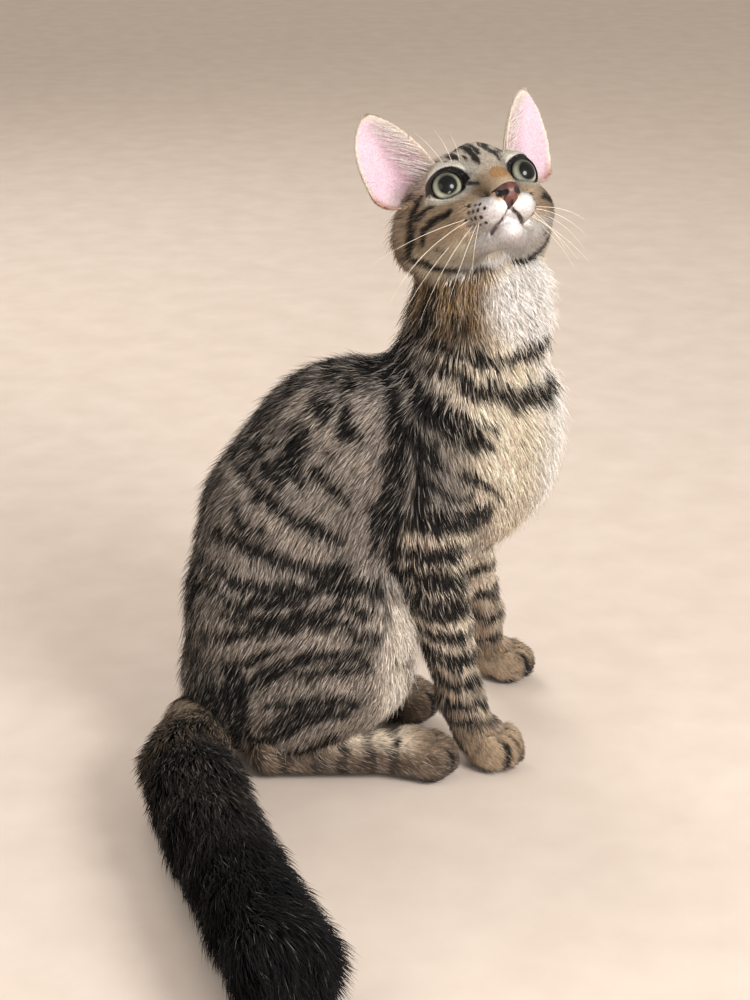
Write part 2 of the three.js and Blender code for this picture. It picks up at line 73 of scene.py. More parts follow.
def rot_zyx(yaw, pitch, roll):
    y, p, r = np.radians([yaw, pitch, roll])
    Rz = np.array([[np.cos(y), -np.sin(y), 0], [np.sin(y), np.cos(y), 0], [0, 0, 1]])
    Ry = np.array([[np.cos(p), 0, np.sin(p)], [0, 1, 0], [-np.sin(p), 0, np.cos(p)]])
    Rx = np.array([[1, 0, 0], [0, np.cos(r), -np.sin(r)], [0, np.sin(r), np.cos(r)]])
    return Rz @ Ry @ Rx


def step(a, b, x):
    t = np.clip((x - a) / (b - a), 0, 1)
    return t * t * (3 - 2 * t)


def mix(a, b, t):
    return a + (b - a) * np.asarray(t)[:, None]


def smin(a, b, k):
    h = np.clip(0.5 + 0.5 * (b - a) / k, 0, 1)
    return b * (1 - h) + a * h - k * h * (1 - h)


def _hash(i, j, k, seed):
    n = (i * 73856093) ^ (j * 19349663) ^ (k * 83492791) ^ (seed * 2654435761)
    n = (n ^ (n >> 13)) * 1274126177 & 0x7FFFFFFF
    n = (n ^ (n >> 15)) * 668265263 & 0x7FFFFFFF
    return (n & 0xFFFFFF) / float(0xFFFFFF) * 2 - 1


def noise(P, size, seed=0):
    """smooth noise from -1 to 1, with lumps of that size in millimetres"""
    Q = P / size + 300.0
    I = np.floor(Q).astype(np.int64)
    f = Q - I
    f = f * f * (3 - 2 * f)
    out = 0
    for a in (0, 1):
        for b in (0, 1):
            for c in (0, 1):
                w = (f[:, 0] if a else 1 - f[:, 0]) * (f[:, 1] if b else 1 - f[:, 1]) * (f[:, 2] if c else 1 - f[:, 2])
                out = out + w * _hash(I[:, 0] + a, I[:, 1] + b, I[:, 2] + c, seed)
    return out


def rgb(r, g, b):
    """a colour given on the 0-255 display scale, as linear light"""
    c = np.array([r, g, b], float) / 255
    return np.where(c <= 0.04045, c / 12.92, ((c + 0.055) / 1.055) ** 2.4)


# ---------------------------------------------------------------- the body: round cones and ellipsoids, with the depth of coat over each
HEAD_AT = np.array([57.9, -14.0, 329.3])
HEAD_TURN = rot_zyx(-69.9, -26.2, 5.2)
SHAPES = []


def cone(part, a, ra, b, rb, coat, k=10.0, wide=1.0, head=False):
    a, b = np.array(a, float), np.array(b, float)
    SHAPES.append(dict(part=part, kind="cone", a=a, ra=ra, b=b, rb=rb, coat=coat, k=k, wide=wide, head=head,
                       mid=(a + b) / 2, reach=np.linalg.norm(b - a) / 2 + max(ra, rb) * max(wide, 1)))


def ball(part, c, r, coat, k=10.0, turn=(0, 0, 0), head=False):
    SHAPES.append(dict(part=part, kind="ball", c=np.array(c, float), r=np.array(r, float), coat=coat, k=k, M=rot_zyx(*turn), head=head,
                       mid=np.array(c, float), reach=max(r)))


TRUNK = [  # name, centre, radius seen from the side, half width over radius, coat
    ("rump", (-58, -16, 51.5), 52.5, 0.84, 6), ("loin", (-51, -15, 98), 52, 0.86, 6), ("waist", (-37, -12, 138), 57.5, 0.78, 6),
    ("ribs", (-8, -6, 164), 64.5, 0.70, 6), ("chest", (40, 4, 172), 59, 0.70, 8)]
for (n0, c0, r0, w0, f0), (n1, c1, r1, w1, f1) in zip(TRUNK, TRUNK[1:]):
    cone("trunk", c0, r0, c1, r1, f0, k=14, wide=(w0 + w1) / 2)
ball("trunk", (78, 8, 186), (22, 26, 42), 10, k=16, turn=(0, 14, 0))
cone("trunk", (20, -4, 120), 34, (-20, -14, 60), 30, 6, k=16)
cone("neck", (48, 3, 200), 48, (58, 9, 262), 37, 7, k=14, wide=0.88)
cone("neck", (58, 9, 256), 37, (52, 13, 290), 32, 6, k=10, wide=0.92)


def hb(*a, **k): ball("head", *a, head=True, **k)
def hc(*a, **k): cone("head", *a, head=True, **k)
hb((-33, 0, -4), (38, 35, 28.5), 3.5, k=10)                       # cranium
hc((-48, 0, -14), 29, (-38, 0, -26), 27, 5, k=14)                 # nape and throat
for s in (-1, 1):
    hb((-35, 26 * s, -19), (20, 21, 23), 5, k=12)                 # ruff
    hb((-17, 23 * s, -17), (21, 16.5, 18), 3.5, k=10)             # cheek
    hb((-9, 17 * s, 8.5), (12, 11, 6.2), 1.8, k=8)                # brow
    hb((-3, 16 * s, -12), (13, 13, 9), 1.8, k=8)                  # under the eye
    hc((-24, 18 * s, -29), 10, (3, 6 * s, -32), 7.0, 2.2, k=9)    # jaw
hc((-12, 0, 9), 13.5, (-2, 0, 4.5), 10.0, 1.4, k=7)               # root of the nose
hc((-2, 0, 4.5), 10.0, (15.5, 0, -7.3), 7.4, 1.0, k=5)            # bridge of the nose
hb((20.0, 0, -11.6), (6.0, 6.8, 6.0), 0.6, k=3.0)                 # nose
for s in (-1, 1):
    hb((8.5, 8.2 * s, -19.0), (14.5, 10.0, 8.6), 1.2, k=5.0)      # whisker pad
hb((8.5, 0, -31), (9.5, 8.5, 7.2), 1.4, k=4.5)                    # chin

TOES = ((-9.8, 6.0), (-3.5, 10.5), (3.5, 10.5), (9.8, 6.0))
PAWS = []


def paw(part, at, heading, size=1.0, coat=1.6, up=1.05):
    h = np.radians(heading)
    X = np.array([np.cos(h), np.sin(h), 0]); Y = np.array([-np.sin(h), np.cos(h), 0]); Z = np.array([0, 0, 1.0])
    PAWS.append(dict(part=part, at=np.array(at, float), X=X, Y=Y, size=size, up=up))
    def at_(x, y, z): return np.array(at) + size * (x * X + y * Y) + z * up * size * Z
    ball(part, at_(-4, 0, 12), np.array((15, 13.5, 13.0 * up)) * size, coat, k=5, turn=(heading, 0, 0))
    ball(part, at_(3.5, 0, 5.5), np.array((16, 14, 6.5)) * size, coat, k=3, turn=(heading, 0, 0))
    for y, x in TOES:
        ball(part, at_(x, y, 9.6), np.array((10.5, 5.6, 10.4 * up)) * size, coat, k=1.6, turn=(heading + y * -0.5, 12, 0))


ball("foreleg_right", (34, -29, 172), (33, 20, 46), 6, k=14, turn=(0, 18, 0))
cone("foreleg_right", (28, -35, 150), 22, (33, -38, 108), 18.5, 6, k=12)
cone("foreleg_right", (33, -38, 108), 18.5, (47, -36, 45), 14.2, 4, k=6)
cone("foreleg_right", (47, -36, 45), 14.2, (55, -33, 22), 13.6, 3, k=6)
paw("foreleg_right", (64, -33, 0), -34, 1.02, up=1.17)
ball("foreleg_left", (42, 28, 172), (33, 20, 46), 6, k=14, turn=(0, 18, 0))
cone("foreleg_left", (42, 34, 150), 22, (51, 46, 110), 18.0, 6, k=12)
cone("foreleg_left", (51, 46, 110), 18.0, (64, 68, 48), 13.8, 4, k=6)
cone("foreleg_left", (64, 68, 48), 13.8, (66, 75, 22), 13.2, 3, k=6)
paw("foreleg_left", (77, 77, 0), -10, 1.0, up=1.12)
for leg, s, y0, foot_y, toe_x in (("right", -1, -42, -46, 45), ("left", 1, 12, 22, 36)):
    ball("hindleg_" + leg, (-28, y0, 78), (52, 25, 60), 5, k=10, turn=(0, 14, 0))
    cone("hindleg_" + leg, (-10, y0 - 2 * s, 62), 30, (-40, foot_y, 34), 22, 4, k=10, wide=0.8)
    cone("hindpaw_" + leg, (-58, foot_y, 14), 13.6, (toe_x - 24, foot_y, 14.5), 13.4, 2.5, k=6)
    paw("hindpaw_" + leg, (toe_x - 20, foot_y, 0), 0, 1.06, up=1.12)
TAIL = [(-86, -12, 36, 23, 8), (-97, -42, 26, 23, 10), (-101, -78, 26, 26, 12), (-93, -114, 28.5, 29, 13.5), (-83, -152, 28.5, 29, 14),
        (-70, -190, 28, 28.5, 14.5), (-57, -228, 28.5, 29, 14.5), (-45, -262, 29, 29.5, 14.5), (-37, -290, 24, 24, 13)]
for p, q in zip(TAIL, TAIL[1:]):
    cone("tail", p[:3], p[3], q[:3], q[3], p[4], k=3)
PARTS = ["trunk", "neck", "head", "foreleg_right", "foreleg_left", "hindleg_right", "hindleg_left", "tail", "hindpaw_right", "hindpaw_left"]
FAR = 60.0


def one(q, p, skin):
    f = q["coat"] if skin else 0.0
    if q["kind"] == "cone":
        a, b, ra, rb, w = q["a"], q["b"], q["ra"] - f, q["rb"] - f, q["wide"]
        if w != 1.0:
            S = np.array([1, 1 / w, 1]); p = p * S; a = a * S; b = b * S
        ba = b - a; l2 = ba @ ba; rr = ra - rb; a2 = l2 - rr * rr; il2 = 1.0 / l2
        pa = p - a; y = pa @ ba; z = y - l2
        x2 = ((pa * l2 - y[:, None] * ba) ** 2).sum(1)
        y2 = y * y * l2; z2 = z * z * l2
        k = np.sign(rr) * rr * rr * x2
        d = (np.sqrt(x2 * a2 * il2) + y * rr) * il2 - ra
        d = np.where(np.sign(z) * a2 * z2 > k, np.sqrt(x2 + z2) * il2 - rb, np.where(np.sign(y) * a2 * y2 < k, np.sqrt(x2 + y2) * il2 - ra, d))
        return d * (0.5 + 0.5 * w)
    r = q["r"] - f
    u = (p - q["c"]) @ q["M"]
    k0 = np.sqrt(((u / r) ** 2).sum(1)); k1 = np.sqrt(((u / (r * r)) ** 2).sum(1))
    return k0 * (k0 - 1) / np.maximum(k1, 1e-9)


def to_head(P):
    return (P - HEAD_AT) @ HEAD_TURN


def from_head(Q):
    return HEAD_AT + np.asarray(Q, float) @ HEAD_TURN.T


def flesh(P, skin=True, want_part=False, PH=None):
    """distance outside the blended body, and which part is nearest"""
    PH = to_head(P) if PH is None else PH
    d = np.full(len(P), FAR); best = np.full(len(P), 1e9); part = np.zeros(len(P), int)
    for q in SHAPES:
        p = PH if q["head"] else P
        i = np.flatnonzero(((p - q["mid"]) ** 2).sum(1) < (q["reach"] + 24) ** 2)
        if not len(i):
            continue
        e = one(q, p[i], skin)
        if want_part:
            m = e < best[i]; best[i[m]] = e[m]; part[i[m]] = PARTS.index(q["part"])
        d[i] = smin(d[i], e, q["k"])
    return (d, part) if want_part else d


# ---------------------------------------------------------------- eyes, ears, mouth, in the head's frame: +x out of the face, +y its left, +z its crown
EYE_R = 9.6
EYE_AT = np.array((-8.2, 20.5, 0.0))
EYE_YAW, EYE_PITCH = 14.0, 4.0
EYE_OPEN = (8.5, 7.1)
EAR_IN = np.array((-15.0, 20.5, 20.0)); EAR_OUT = np.array((-32.0, 48.5, -2.0)); EAR_TIP = np.array((-27.0, 47.0, 49.0))
EAR_MID = (EAR_IN + EAR_OUT) / 2
EAR_W = unit(EAR_TIP - EAR_MID); EAR_L = float(np.linalg.norm(EAR_TIP - EAR_MID))
EAR_V = unit((EAR_OUT - EAR_IN) - ((EAR_OUT - EAR_IN) @ EAR_W) * EAR_W); EAR_N = np.cross(EAR_V, EAR_W)
EAR_THICK = 1.9


def ear_uvw(PH, s):
    Q = PH * np.array([1, s, 1]) - EAR_MID
    return Q @ EAR_N, Q @ EAR_V, Q @ EAR_W


def ear_edges(w):
    vo = 19.5 * (1 - np.clip((w + 6) / (EAR_L + 6.5), 0, 1) ** 3.0) ** 0.62
    vi = -18.0 * (1 - np.clip((w - 2) / (EAR_L - 1.5), 0, 1) ** 1.6) ** 0.66
    low = np.sqrt(np.clip(1 - (np.clip(3 - w, 0, 15) / 15.2) ** 2, 0, 1))      # the lobe's round lower end
    return vi, -6 + (vo + 6) * low


def ear_leaf(PH, s, t):
    u, v, w = ear_uvw(PH, s)
    h = np.clip((w + 10) / (EAR_L + 10), 0, 1)
    vi, vo = ear_edges(w)
    vc = (vo + vi) / 2; b = np.maximum((vo - vi) / 2, 1.0)
    x = np.clip((v - vc) / b, -1.25, 1.25)
    deep = 12.5 * (1 - h) ** 0.7 * np.clip(b / 14, 0, 1)
    mid = -deep * (1 - x * x) + 1.5 * (1 - h) - 3.0 * h * h
    g = 2 * deep * x / b
    d1 = np.abs(u - mid) / np.sqrt(1 + g * g + 0.08) - t / 2
    e = np.maximum(np.maximum(v - vo, vi - v) * 0.86, np.maximum(w - EAR_L, -12 - w))
    k = 0.6 * t
    hh = np.clip(0.5 - 0.5 * (e - d1) / k, 0, 1)
    return e * (1 - hh) + d1 * hh + k * hh * (1 - hh)


def eye_frame(s):
    a = np.radians(EYE_YAW) * s; p = np.radians(EYE_PITCH)
    X = np.array([np.cos(a) * np.cos(p), np.sin(a) * np.cos(p), np.sin(p)])
    Y = unit(np.cross((0, 0, 1), X)) * s
    Z = np.cross(X, Y * s)
    return EYE_AT * np.array([1, s, 1]), X, Y, Z


def eye_plan(PH, s):
    """round the opening between the lids: (distance from its edge seen from in front, how far in front, towards the outer corner, up)"""
    C, X, Y, Z = eye_frame(s)
    Q = PH - C
    x, a, b = Q @ X, Q @ Y, Q @ Z
    t = np.radians(6)
    a, b = a * np.cos(t) - b * np.sin(t), a * np.sin(t) + b * np.cos(t)
    ha, hb_ = EYE_OPEN
    aa = np.where(a < 0, a / (ha * 1.10), a / ha)
    bb = b / np.where(b > 0, hb_ * 1.02, hb_ * 0.95)
    r = (np.abs(aa) ** 1.85 + np.abs(bb) ** 2.15) ** 0.5
    return (r - 1) * hb_, x, a, b


def capsule(P, a, b, r):
    ab = b - a
    t = np.clip((P - a) @ ab / (ab @ ab), 0, 1)
    return np.linalg.norm(P - a - t[:, None] * ab, axis=1) - r


GROOVES = []   # (from, to, radius, blend), filled below on the skin itself


def skin(P):
    """distance outside the skin, with lids, sockets, ears, nostrils and mouth"""
    PH = to_head(P)
    d = flesh(P, True, PH=PH)
    near = np.flatnonzero(((PH - np.array((-14, 0, 8))) ** 2).sum(1) < 86 ** 2)
    if len(near):
        H = PH[near]; e = d[near]
        for a, b, r, k in GROOVES:
            i = np.flatnonzero(((H - (a + b) / 2) ** 2).sum(1) < (np.linalg.norm(b - a) / 2 + r + 8) ** 2)
            if len(i):
                e[i] = -smin(-e[i], capsule(H[i], a, b, r), k)
        for s in (-1, 1):
            C = eye_frame(s)[0]
            i = np.flatnonzero(((H - C) ** 2).sum(1) < 26 ** 2)
            if len(i):
                q = np.linalg.norm(H[i] - C, axis=1)
                g = smin(e[i], q - (EYE_R + 1.1), 3.0)
                g = np.maximum(g, -(q - (EYE_R + 0.05)))
                edge, x, _, _ = eye_plan(H[i], s)
                e[i] = -smin(-g, np.maximum(edge, 2.0 - x), 0.8)
            i = np.flatnonzero(((H - np.array((-25, 38 * s, 22))) ** 2).sum(1) < 56 ** 2)
            if len(i):
                e[i] = smin(e[i], ear_leaf(H[i], s, EAR_THICK), 4.0)
        d[near] = e
    return d


TETRA = np.array([[1, -1, -1], [-1, -1, 1], [-1, 1, -1], [1, 1, 1]], float)


def slope(F, P, e=0.25):
    G = np.zeros_like(P)
    for t in TETRA:
        G += t * F(P + t * e)[:, None]
    return G / (4 * e)


def onto(F, P, steps=2, limit=1.0):
    for _ in range(steps):
        g = slope(F, P)
        d = -(F(P) / np.maximum((g * g).sum(1), 1e-6))[:, None] * g
        n = np.linalg.norm(d, axis=1)
        P = P + d * np.minimum(1, limit / np.maximum(n, 1e-9))[:, None]
    return P


def on_face(Q, steps=6):
    """points of the head's frame moved onto the skin"""
    return to_head(onto(lambda P: flesh(P, True), from_head(np.atleast_2d(Q)), steps, 3.0))


def line(points, radius, k):
    Q = on_face(np.array(points, float))
    for a, b in zip(Q, Q[1:]):
        GROOVES.append((a, b, radius, k))


line([(23.0, 0, -18.2), (21.4, 0, -20.6), (19.8, 0, -22.6)], 0.75, 0.9)                        # philtrum
for s in (-1, 1):
    line([(19.8, 0, -22.6), (18.2, 3.2 * s, -24.6), (14.2, 7.6 * s, -27.4), (9.0, 11.2 * s, -29.9)], 0.85, 1.3)   # mouth
    line([(25.0, 3.1 * s, -12.6), (23.6, 4.5 * s, -12.9), (21.8, 6.0 * s, -12.0)], 1.15, 0.6)      # nostril
    line([(23.8, 3.4 * s, -13.4), (22.4, 4.6 * s, -15.4)], 0.7, 0.8)
NOSTRILS = [g for g in GROOVES if g[2] == 1.15]
MOUTH = [g for g in GROOVES if g[2] == 0.85]


# ---------------------------------------------------------------- meshing: a tree of cubes, finer where it is wanted, one point in each cube
def pack(c):
    c = c.astype(np.int64)
    return (c[:, 0] << 32) | (c[:, 1] << 16) | c[:, 2]


def surface(F, lo, hi, fine, levels, want, margin=1.4):
    lo = np.array(lo, float); top = 1 << levels
    n = np.ceil((np.array(hi, float) - lo) / (fine * top)).astype(int)
    cells = np.stack(np.meshgrid(*[np.arange(k) for k in n], indexing="ij"), -1).reshape(-1, 3) * top
    leaves = {}
    for l in range(levels, -1, -1):
        s = 1 << l
        if len(cells) == 0:
            leaves[l] = cells; continue
        c = lo + (cells + s / 2) * fine
        near = np.abs(F(c)) < margin * 0.87 * s * fine + 0.6 * fine
        cells = cells[near]; c = c[near]
        if l == 0:
            leaves[0] = cells; break
        split = want(c) < s * fine * 0.99
        leaves[l] = cells[~split]
        o = np.array([[i, j, k] for i in (0, 1) for j in (0, 1) for k in (0, 1)]) * (s // 2)
        cells = (cells[split][:, None, :] + o[None]).reshape(-1, 3)
    keys, base, total = {}, {}, 0
    for l in leaves:
        k = pack(leaves[l]); order = np.argsort(k); leaves[l] = leaves[l][order]; keys[l] = k[order]; base[l] = total; total += len(k)

    def lookup(p):
        idx = np.full(len(p), -1, np.int64); lev = np.full(len(p), -1, np.int64)
        for l in keys:
            if not len(keys[l]):
                continue
            s = 1 << l
            k = pack((np.floor(p / s) * s).astype(np.int64))
            j = np.searchsorted(keys[l], k); j[j == len(keys[l])] = 0
            hit = keys[l][j] == k
            idx[hit] = base[l] + j[hit]; lev[hit] = l
        return idx, lev
    E = []
    for l in leaves:
        c = leaves[l]
        if not len(c):
            continue
        s = 1 << l
        for ax in range(3):
            u, v = (ax + 1) % 3, (ax + 2) % 3
            for du in (0, s):
                for dv in (0, s):
                    q = c.copy(); q[:, u] += du; q[:, v] += dv
                    E.append(np.concatenate([q, np.full((len(q), 1), ax), np.full((len(q), 1), l)], 1))
    E = np.concatenate(E)
    k = pack(E[:, :3]) | (E[:, 3].astype(np.int64) << 48) | (E[:, 4].astype(np.int64) << 51)
    E = E[np.unique(k, return_index=True)[1]]
    ax = E[:, 3]; s = (1 << E[:, 4]).astype(float); start = E[:, :3].astype(float)
    I = np.eye(3)
    A, U, V = I[ax], I[(ax + 1) % 3], I[(ax + 2) % 3]
    mid = start + A * (s / 2)[:, None]
    ids = []; ok = np.ones(len(E), bool)
    for su, sv in ((-.5, -.5), (.5, -.5), (.5, .5), (-.5, .5)):
        i, lv = lookup(mid + U * su + V * sv)
        ok &= (i < 0) | (lv >= E[:, 4])
        ids.append(i)
    ids = np.stack(ids, 1)
    E, start, A, s, ids = E[ok], start[ok], A[ok], s[ok], ids[ok]
    both = np.concatenate([start, start + A * s[:, None]]).astype(np.int64)
    kk, inv = np.unique(pack(both), return_inverse=True)
    pos = np.stack([kk >> 32, (kk >> 16) & 0xFFFF, kk & 0xFFFF], 1).astype(float)
    val = F(lo + pos * fine)
    f0, f1 = val[inv[:len(E)]], val[inv[len(E):]]
    cross = ((f0 < 0) != (f1 < 0)) & ~(ids < 0).any(1)
    start, A, s, ids, f0, f1 = start[cross], A[cross], s[cross], ids[cross], f0[cross], f1[cross]
    X = lo + (start + A * (s * f0 / (f0 - f1))[:, None]) * fine
    acc = np.zeros((total, 3)); cnt = np.zeros(total)
    for c in range(4):
        for d in range(3):
            acc[:, d] += np.bincount(ids[:, c], X[:, d], total)
        cnt += np.bincount(ids[:, c], minlength=total)
    used = cnt > 0
    P = acc[used] / cnt[used][:, None]
    Q = (np.cumsum(used) - 1)[ids]
    Q[f0 > 0] = Q[f0 > 0][:, ::-1]
    same = Q == np.roll(Q, -1, 1)
    quads = Q[same.sum(1) == 0]
    tq, ts = Q[same.sum(1) == 1], same[same.sum(1) == 1]
    tris = tq[~ts].reshape(-1, 3) if len(tq) else np.zeros((0, 3), int)
    width = np.concatenate([np.full(len(leaves[l]), float(1 << l) * fine) for l in leaves])[used]
    return P, quads, tris, width


def skin_want(P):
    """the width of cube wanted at each place"""
    PH = to_head(P)
    w = np.full(len(P), 2.0)
    face = (((PH - np.array((-4, 0, -6))) / np.array((34, 40, 38))) ** 2).sum(1) < 1
    w[face] = 1.0
    for s in (-1, 1):
        w[((PH - np.array((-25, 38 * s, 22))) ** 2).sum(1) < 46 ** 2] = 1.0
        C, X, _, _ = eye_frame(s)
        Q = PH - C
        front = Q @ X
        w[(np.linalg.norm(Q, axis=1) < 13.5) & (front > 0.5)] = 0.5
    w[((PH - np.array((19, 0, -17))) ** 2).sum(1) < 14 ** 2] = 0.5
    w[(((PH - np.array((12, 0, -28))) / np.array((10, 17, 9))) ** 2).sum(1) < 1] = 0.5
    for q in PAWS:
        w[((P - (q["at"] + 4 * q["X"] + np.array([0, 0, 8]))) ** 2).sum(1) < 26 ** 2] = 1.0
    return w


import time
T0 = time.time()
def clock(what):
    print(f"[{time.time() - T0:6.1f}s] {what}", flush=True)


LOW, HIGH = (-140, -335, -6), (120, 130, 400)
SV, SQ, ST, SW = surface(skin, LOW, HIGH, 0.56, 3, lambda P: 1.12 * skin_want(P))
clock(f"skin meshed: {len(SV)} points, {2 * len(SQ) + len(ST)} triangles")
SV = onto(skin, SV, 2, 0.45)
clock("skin settled")
SN = units(slope(skin, SV, 0.35))
_, SPART = flesh(SV, True, want_part=True)
SHEAD = to_head(SV)
clock("normals")


# ---------------------------------------------------------------- where each place is, and which way its hair lies
def ear_side(PH, N=None):
    """0 off the ears, 1 on their outside, 2 in their cup"""
    out = np.zeros(len(PH), int)
    for s in (-1, 1):
        u, v, w = ear_uvw(PH, s)
        leaf = ear_leaf(PH, s, EAR_THICK)
        on = (leaf < 0.6) & (w > -9) & (((PH - np.array((-25, 38 * s, 22))) ** 2).sum(1) < 50 ** 2)
        if N is not None:
            NH = (N @ HEAD_TURN) * np.array([1, s, 1])
            out[on & (NH @ EAR_N > 0.05)] = 2
            out[on & (NH @ EAR_N <= 0.05)] = 1
        else:
            out[on] = 1
    return out


SPINE = np.array([(52, 13, 300), (58, 9, 256), (40, 2, 205), (-8, -6, 168), (-37, -12, 138), (-51, -15, 98), (-66, -15, 52), (-97, -42, 26)], float)


def along(P, path):
    """the direction of a path at the place nearest each point, and how far along it that is"""
    best = np.full(len(P), 1e18); T = np.zeros_like(P); S = np.zeros(len(P)); Cn = np.zeros_like(P); at = 0.0
    for a, b in zip(path, path[1:]):
        ab = b - a; L = np.linalg.norm(ab)
        t = np.clip((P - a) @ ab / (L * L), 0, 1)
        C = a + t[:, None] * ab
        d = ((P - C) ** 2).sum(1)
        m = d < best
        best[m] = d[m]; T[m] = ab / L; S[m] = at + t[m] * L; Cn[m] = C[m]
        at += L
    return T, S, Cn


TAIL_PATH = np.array([p[:3] for p in TAIL], float)


def lie(P, N, part, PH, ear):
    """which way the hair lies, before it is turned into the skin"""
    D = np.zeros_like(P)
    T, _, _ = along(P, SPINE)
    down = np.array([0.0, 0, -1])
    front = step(20, 70, P[:, 0])
    body = mix(T + 0.35 * down, np.array([0.30, 0.0, -1.0]) + 0 * P, front)
    D[:] = body
    thigh = (part == 5) | (part == 6)
    fwd = step(-10, 28, P[:, 0])[:, None]
    D[thigh] = (np.array([-0.62, 0, -0.85]) * (1 - fwd) + np.array([0.25, 0, -1.0]) * fwd)[thigh]
    for k, name in ((3, "foreleg_right"), (4, "foreleg_left")):
        m = part == k
        D[m] = mix(np.array([0.25, 0, -1.0]) + 0 * P[m], np.array([0.9, 0, -0.35]) + 0 * P[m], step(26, 12, P[m, 2]))
    for k in (8, 9):
        m = part == k
        D[m] = np.array([1.0, 0, -0.35])
    m = part == 7
    D[m] = along(P[m], TAIL_PATH)[0]
    m = part == 2
    Q = PH[m]
    v = Q - np.array((24.0, 0, -11))
    dist = np.linalg.norm(v, axis=1)
    away = v / dist[:, None]
    away[:, 1] *= 1.15
    dn = down @ HEAD_TURN
    back = np.array([-0.5, 0, -0.6])
    F = away + (dn * 0.9)[None] * step(52, 95, dist)[:, None]
    D[m] = F @ HEAD_TURN.T
    for s in (-1, 1):
        m = (ear > 0) & (np.sign(PH[:, 1]) == s)
        D[m] = ((EAR_W * 1.0 + EAR_V * 0.15) * np.array([1, s, 1])) @ HEAD_TURN.T
    return D


SEAR = ear_side(SHEAD, SN)
EDGES = np.concatenate([SQ[:, [0, 1]], SQ[:, [1, 2]], SQ[:, [2, 3]], SQ[:, [3, 0]], ST[:, [0, 1]], ST[:, [1, 2]], ST[:, [2, 0]]])
DEG = np.maximum(np.bincount(EDGES.ravel(), minlength=len(SV)), 1)


def spread(X, times, keep=0.35):
    """evens a value out over the skin"""
    for _ in range(times):
        A = np.empty_like(X)
        for c in range(X.shape[1]):
            A[:, c] = np.bincount(EDGES[:, 0], X[EDGES[:, 1], c], len(X)) + np.bincount(EDGES[:, 1], X[EDGES[:, 0], c], len(X))
        X = keep * X + (1 - keep) * A / DEG[:, None]
    return X


def in_skin(D, N):
    return units(D - (D * N).sum(1)[:, None] * N)


SDIR = units(lie(SV, SN, SPART, SHEAD, SEAR))
SDIR = in_skin(SDIR, SN)
SDIR = in_skin(spread(SDIR, 14), SN)
SCOAT = np.clip(-flesh(SV, False), 0.5, 16)
SCOAT[SEAR > 0] = 0.8
SCOAT = spread(SCOAT[:, None], 6)[:, 0]
clock("lie of the coat")


# ---------------------------------------------------------------- markings: named strokes and rings, the same ones for skin and coat
# strokes on the sides, as half width and the (x, z) they pass through
DARK_STROKES = [
    (3.4, [(-14, 224), (-16, 212), (-17, 202), (-10, 193)]),
    (4.6, [(-26, 212), (-40, 195), (-46, 180), (-39, 175)]),
    (4.2, [(-69, 172), (-58, 164), (-46, 156), (-29, 151), (-19, 145)]),
    (3.6, [(-86, 142), (-69, 141), (-53, 135), (-34, 130), (-16, 127)]),
    (3.6, [(-91, 124), (-72, 117), (-50, 117), (-27, 120), (-5, 117), (5, 110)]),
    (2.7, [(-81, 100), (-59, 99), (-35, 106), (-16, 108), (3, 101)]),
    (3.0, [(-93, 84), (-73, 89), (-53, 98), (-29, 100), (-13, 96)]),
    (3.6, [(-65, 61), (-51, 75), (-35, 82), (-19, 82), (-4, 77)]),
    (2.2, [(-43, 70), (-23, 73), (-3, 70)]),
    (3.0, [(-57, 49), (-46, 52), (-30, 56), (-11, 54)]),
    (3.0, [(-69, 21), (-46, 38), (-27, 44), (-14, 48)]),
    (2.5, [(-58, 15), (-38, 21), (-22, 30)]),
    (6.0, [(-78, 70), (-74, 47), (-77, 16)]),
    (5.0, [(8, 217), (11, 202), (9, 185), (9, 165), (10, 142), (13, 122)]),
    (5.2, [(19, 226), (24, 216), (34, 207), (43, 199), (56, 193)]),
    (4.2, [(18, 201), (24, 194), (34, 184)]),
    (4.2, [(22, 187), (25, 171), (21, 158)]),
    (1.8, [(42, 178), (56, 173), (68, 160)]),
    (4.8, [(33, 231), (47, 224), (63, 218), (80, 213), (91, 212), (106, 216)]),
    (2.8, [(-33, 183), (-24, 172), (-16, 166)]), (2.6, [(-76, 158), (-66, 150), (-52, 146)]), (3.0, [(-3, 180), (0, 164), (2, 148), (0, 134)]),
    (2.4, [(-88, 110), (-70, 106), (-52, 110), (-40, 112)]), (2.4, [(-84, 70), (-66, 76), (-52, 86)]), (2.4, [(-60, 36), (-44, 46), (-24, 50)]),
    (3.2, [(-66, 190), (-56, 182), (-50, 172)]), (2.6, [(-36, 222), (-28, 204), (-26, 190)]), (2.4, [(-22, 92), (-6, 92), (4, 90)]),
    (2.6, [(36, 214), (46, 206), (60, 202)]), (2.2, [(30, 176), (40, 168), (50, 166)]),
    (2.8, [(33, 243), (47, 236), (67, 234), (82, 235), (100, 240)]),
]
LIGHT_STROKES = [
    (4.4, [(-34, 203), (-24, 197), (-10, 187), (1, 172)]), (3.0, [(-12, 217), (-3, 207), (3, 192)]),
    (4.6, [(-60, 160), (-50, 149), (-37, 141), (-24, 136)]), (3.6, [(-78, 173), (-65, 165)]),
    (3.6, [(-30, 222), (-38, 212), (-45, 205)]), (3.0, [(-41, 61), (-19, 65), (0, 61)]), (3.4, [(-40, 90), (-19, 90), (0, 86)]),
]
NEAR_LEG_RINGS = [(152, 5.6), (133, 3.0), (118, 4.6), (102, 4.6), (86, 3.0), (70, 3.4), (55, 2.2), (41, 2.2), (30, 1.6)]
FAR_LEG_RINGS = [(128, 3.4), (108, 3.0), (88, 3.0), (68, 3.2), (50, 2.2), (34, 2.0)]
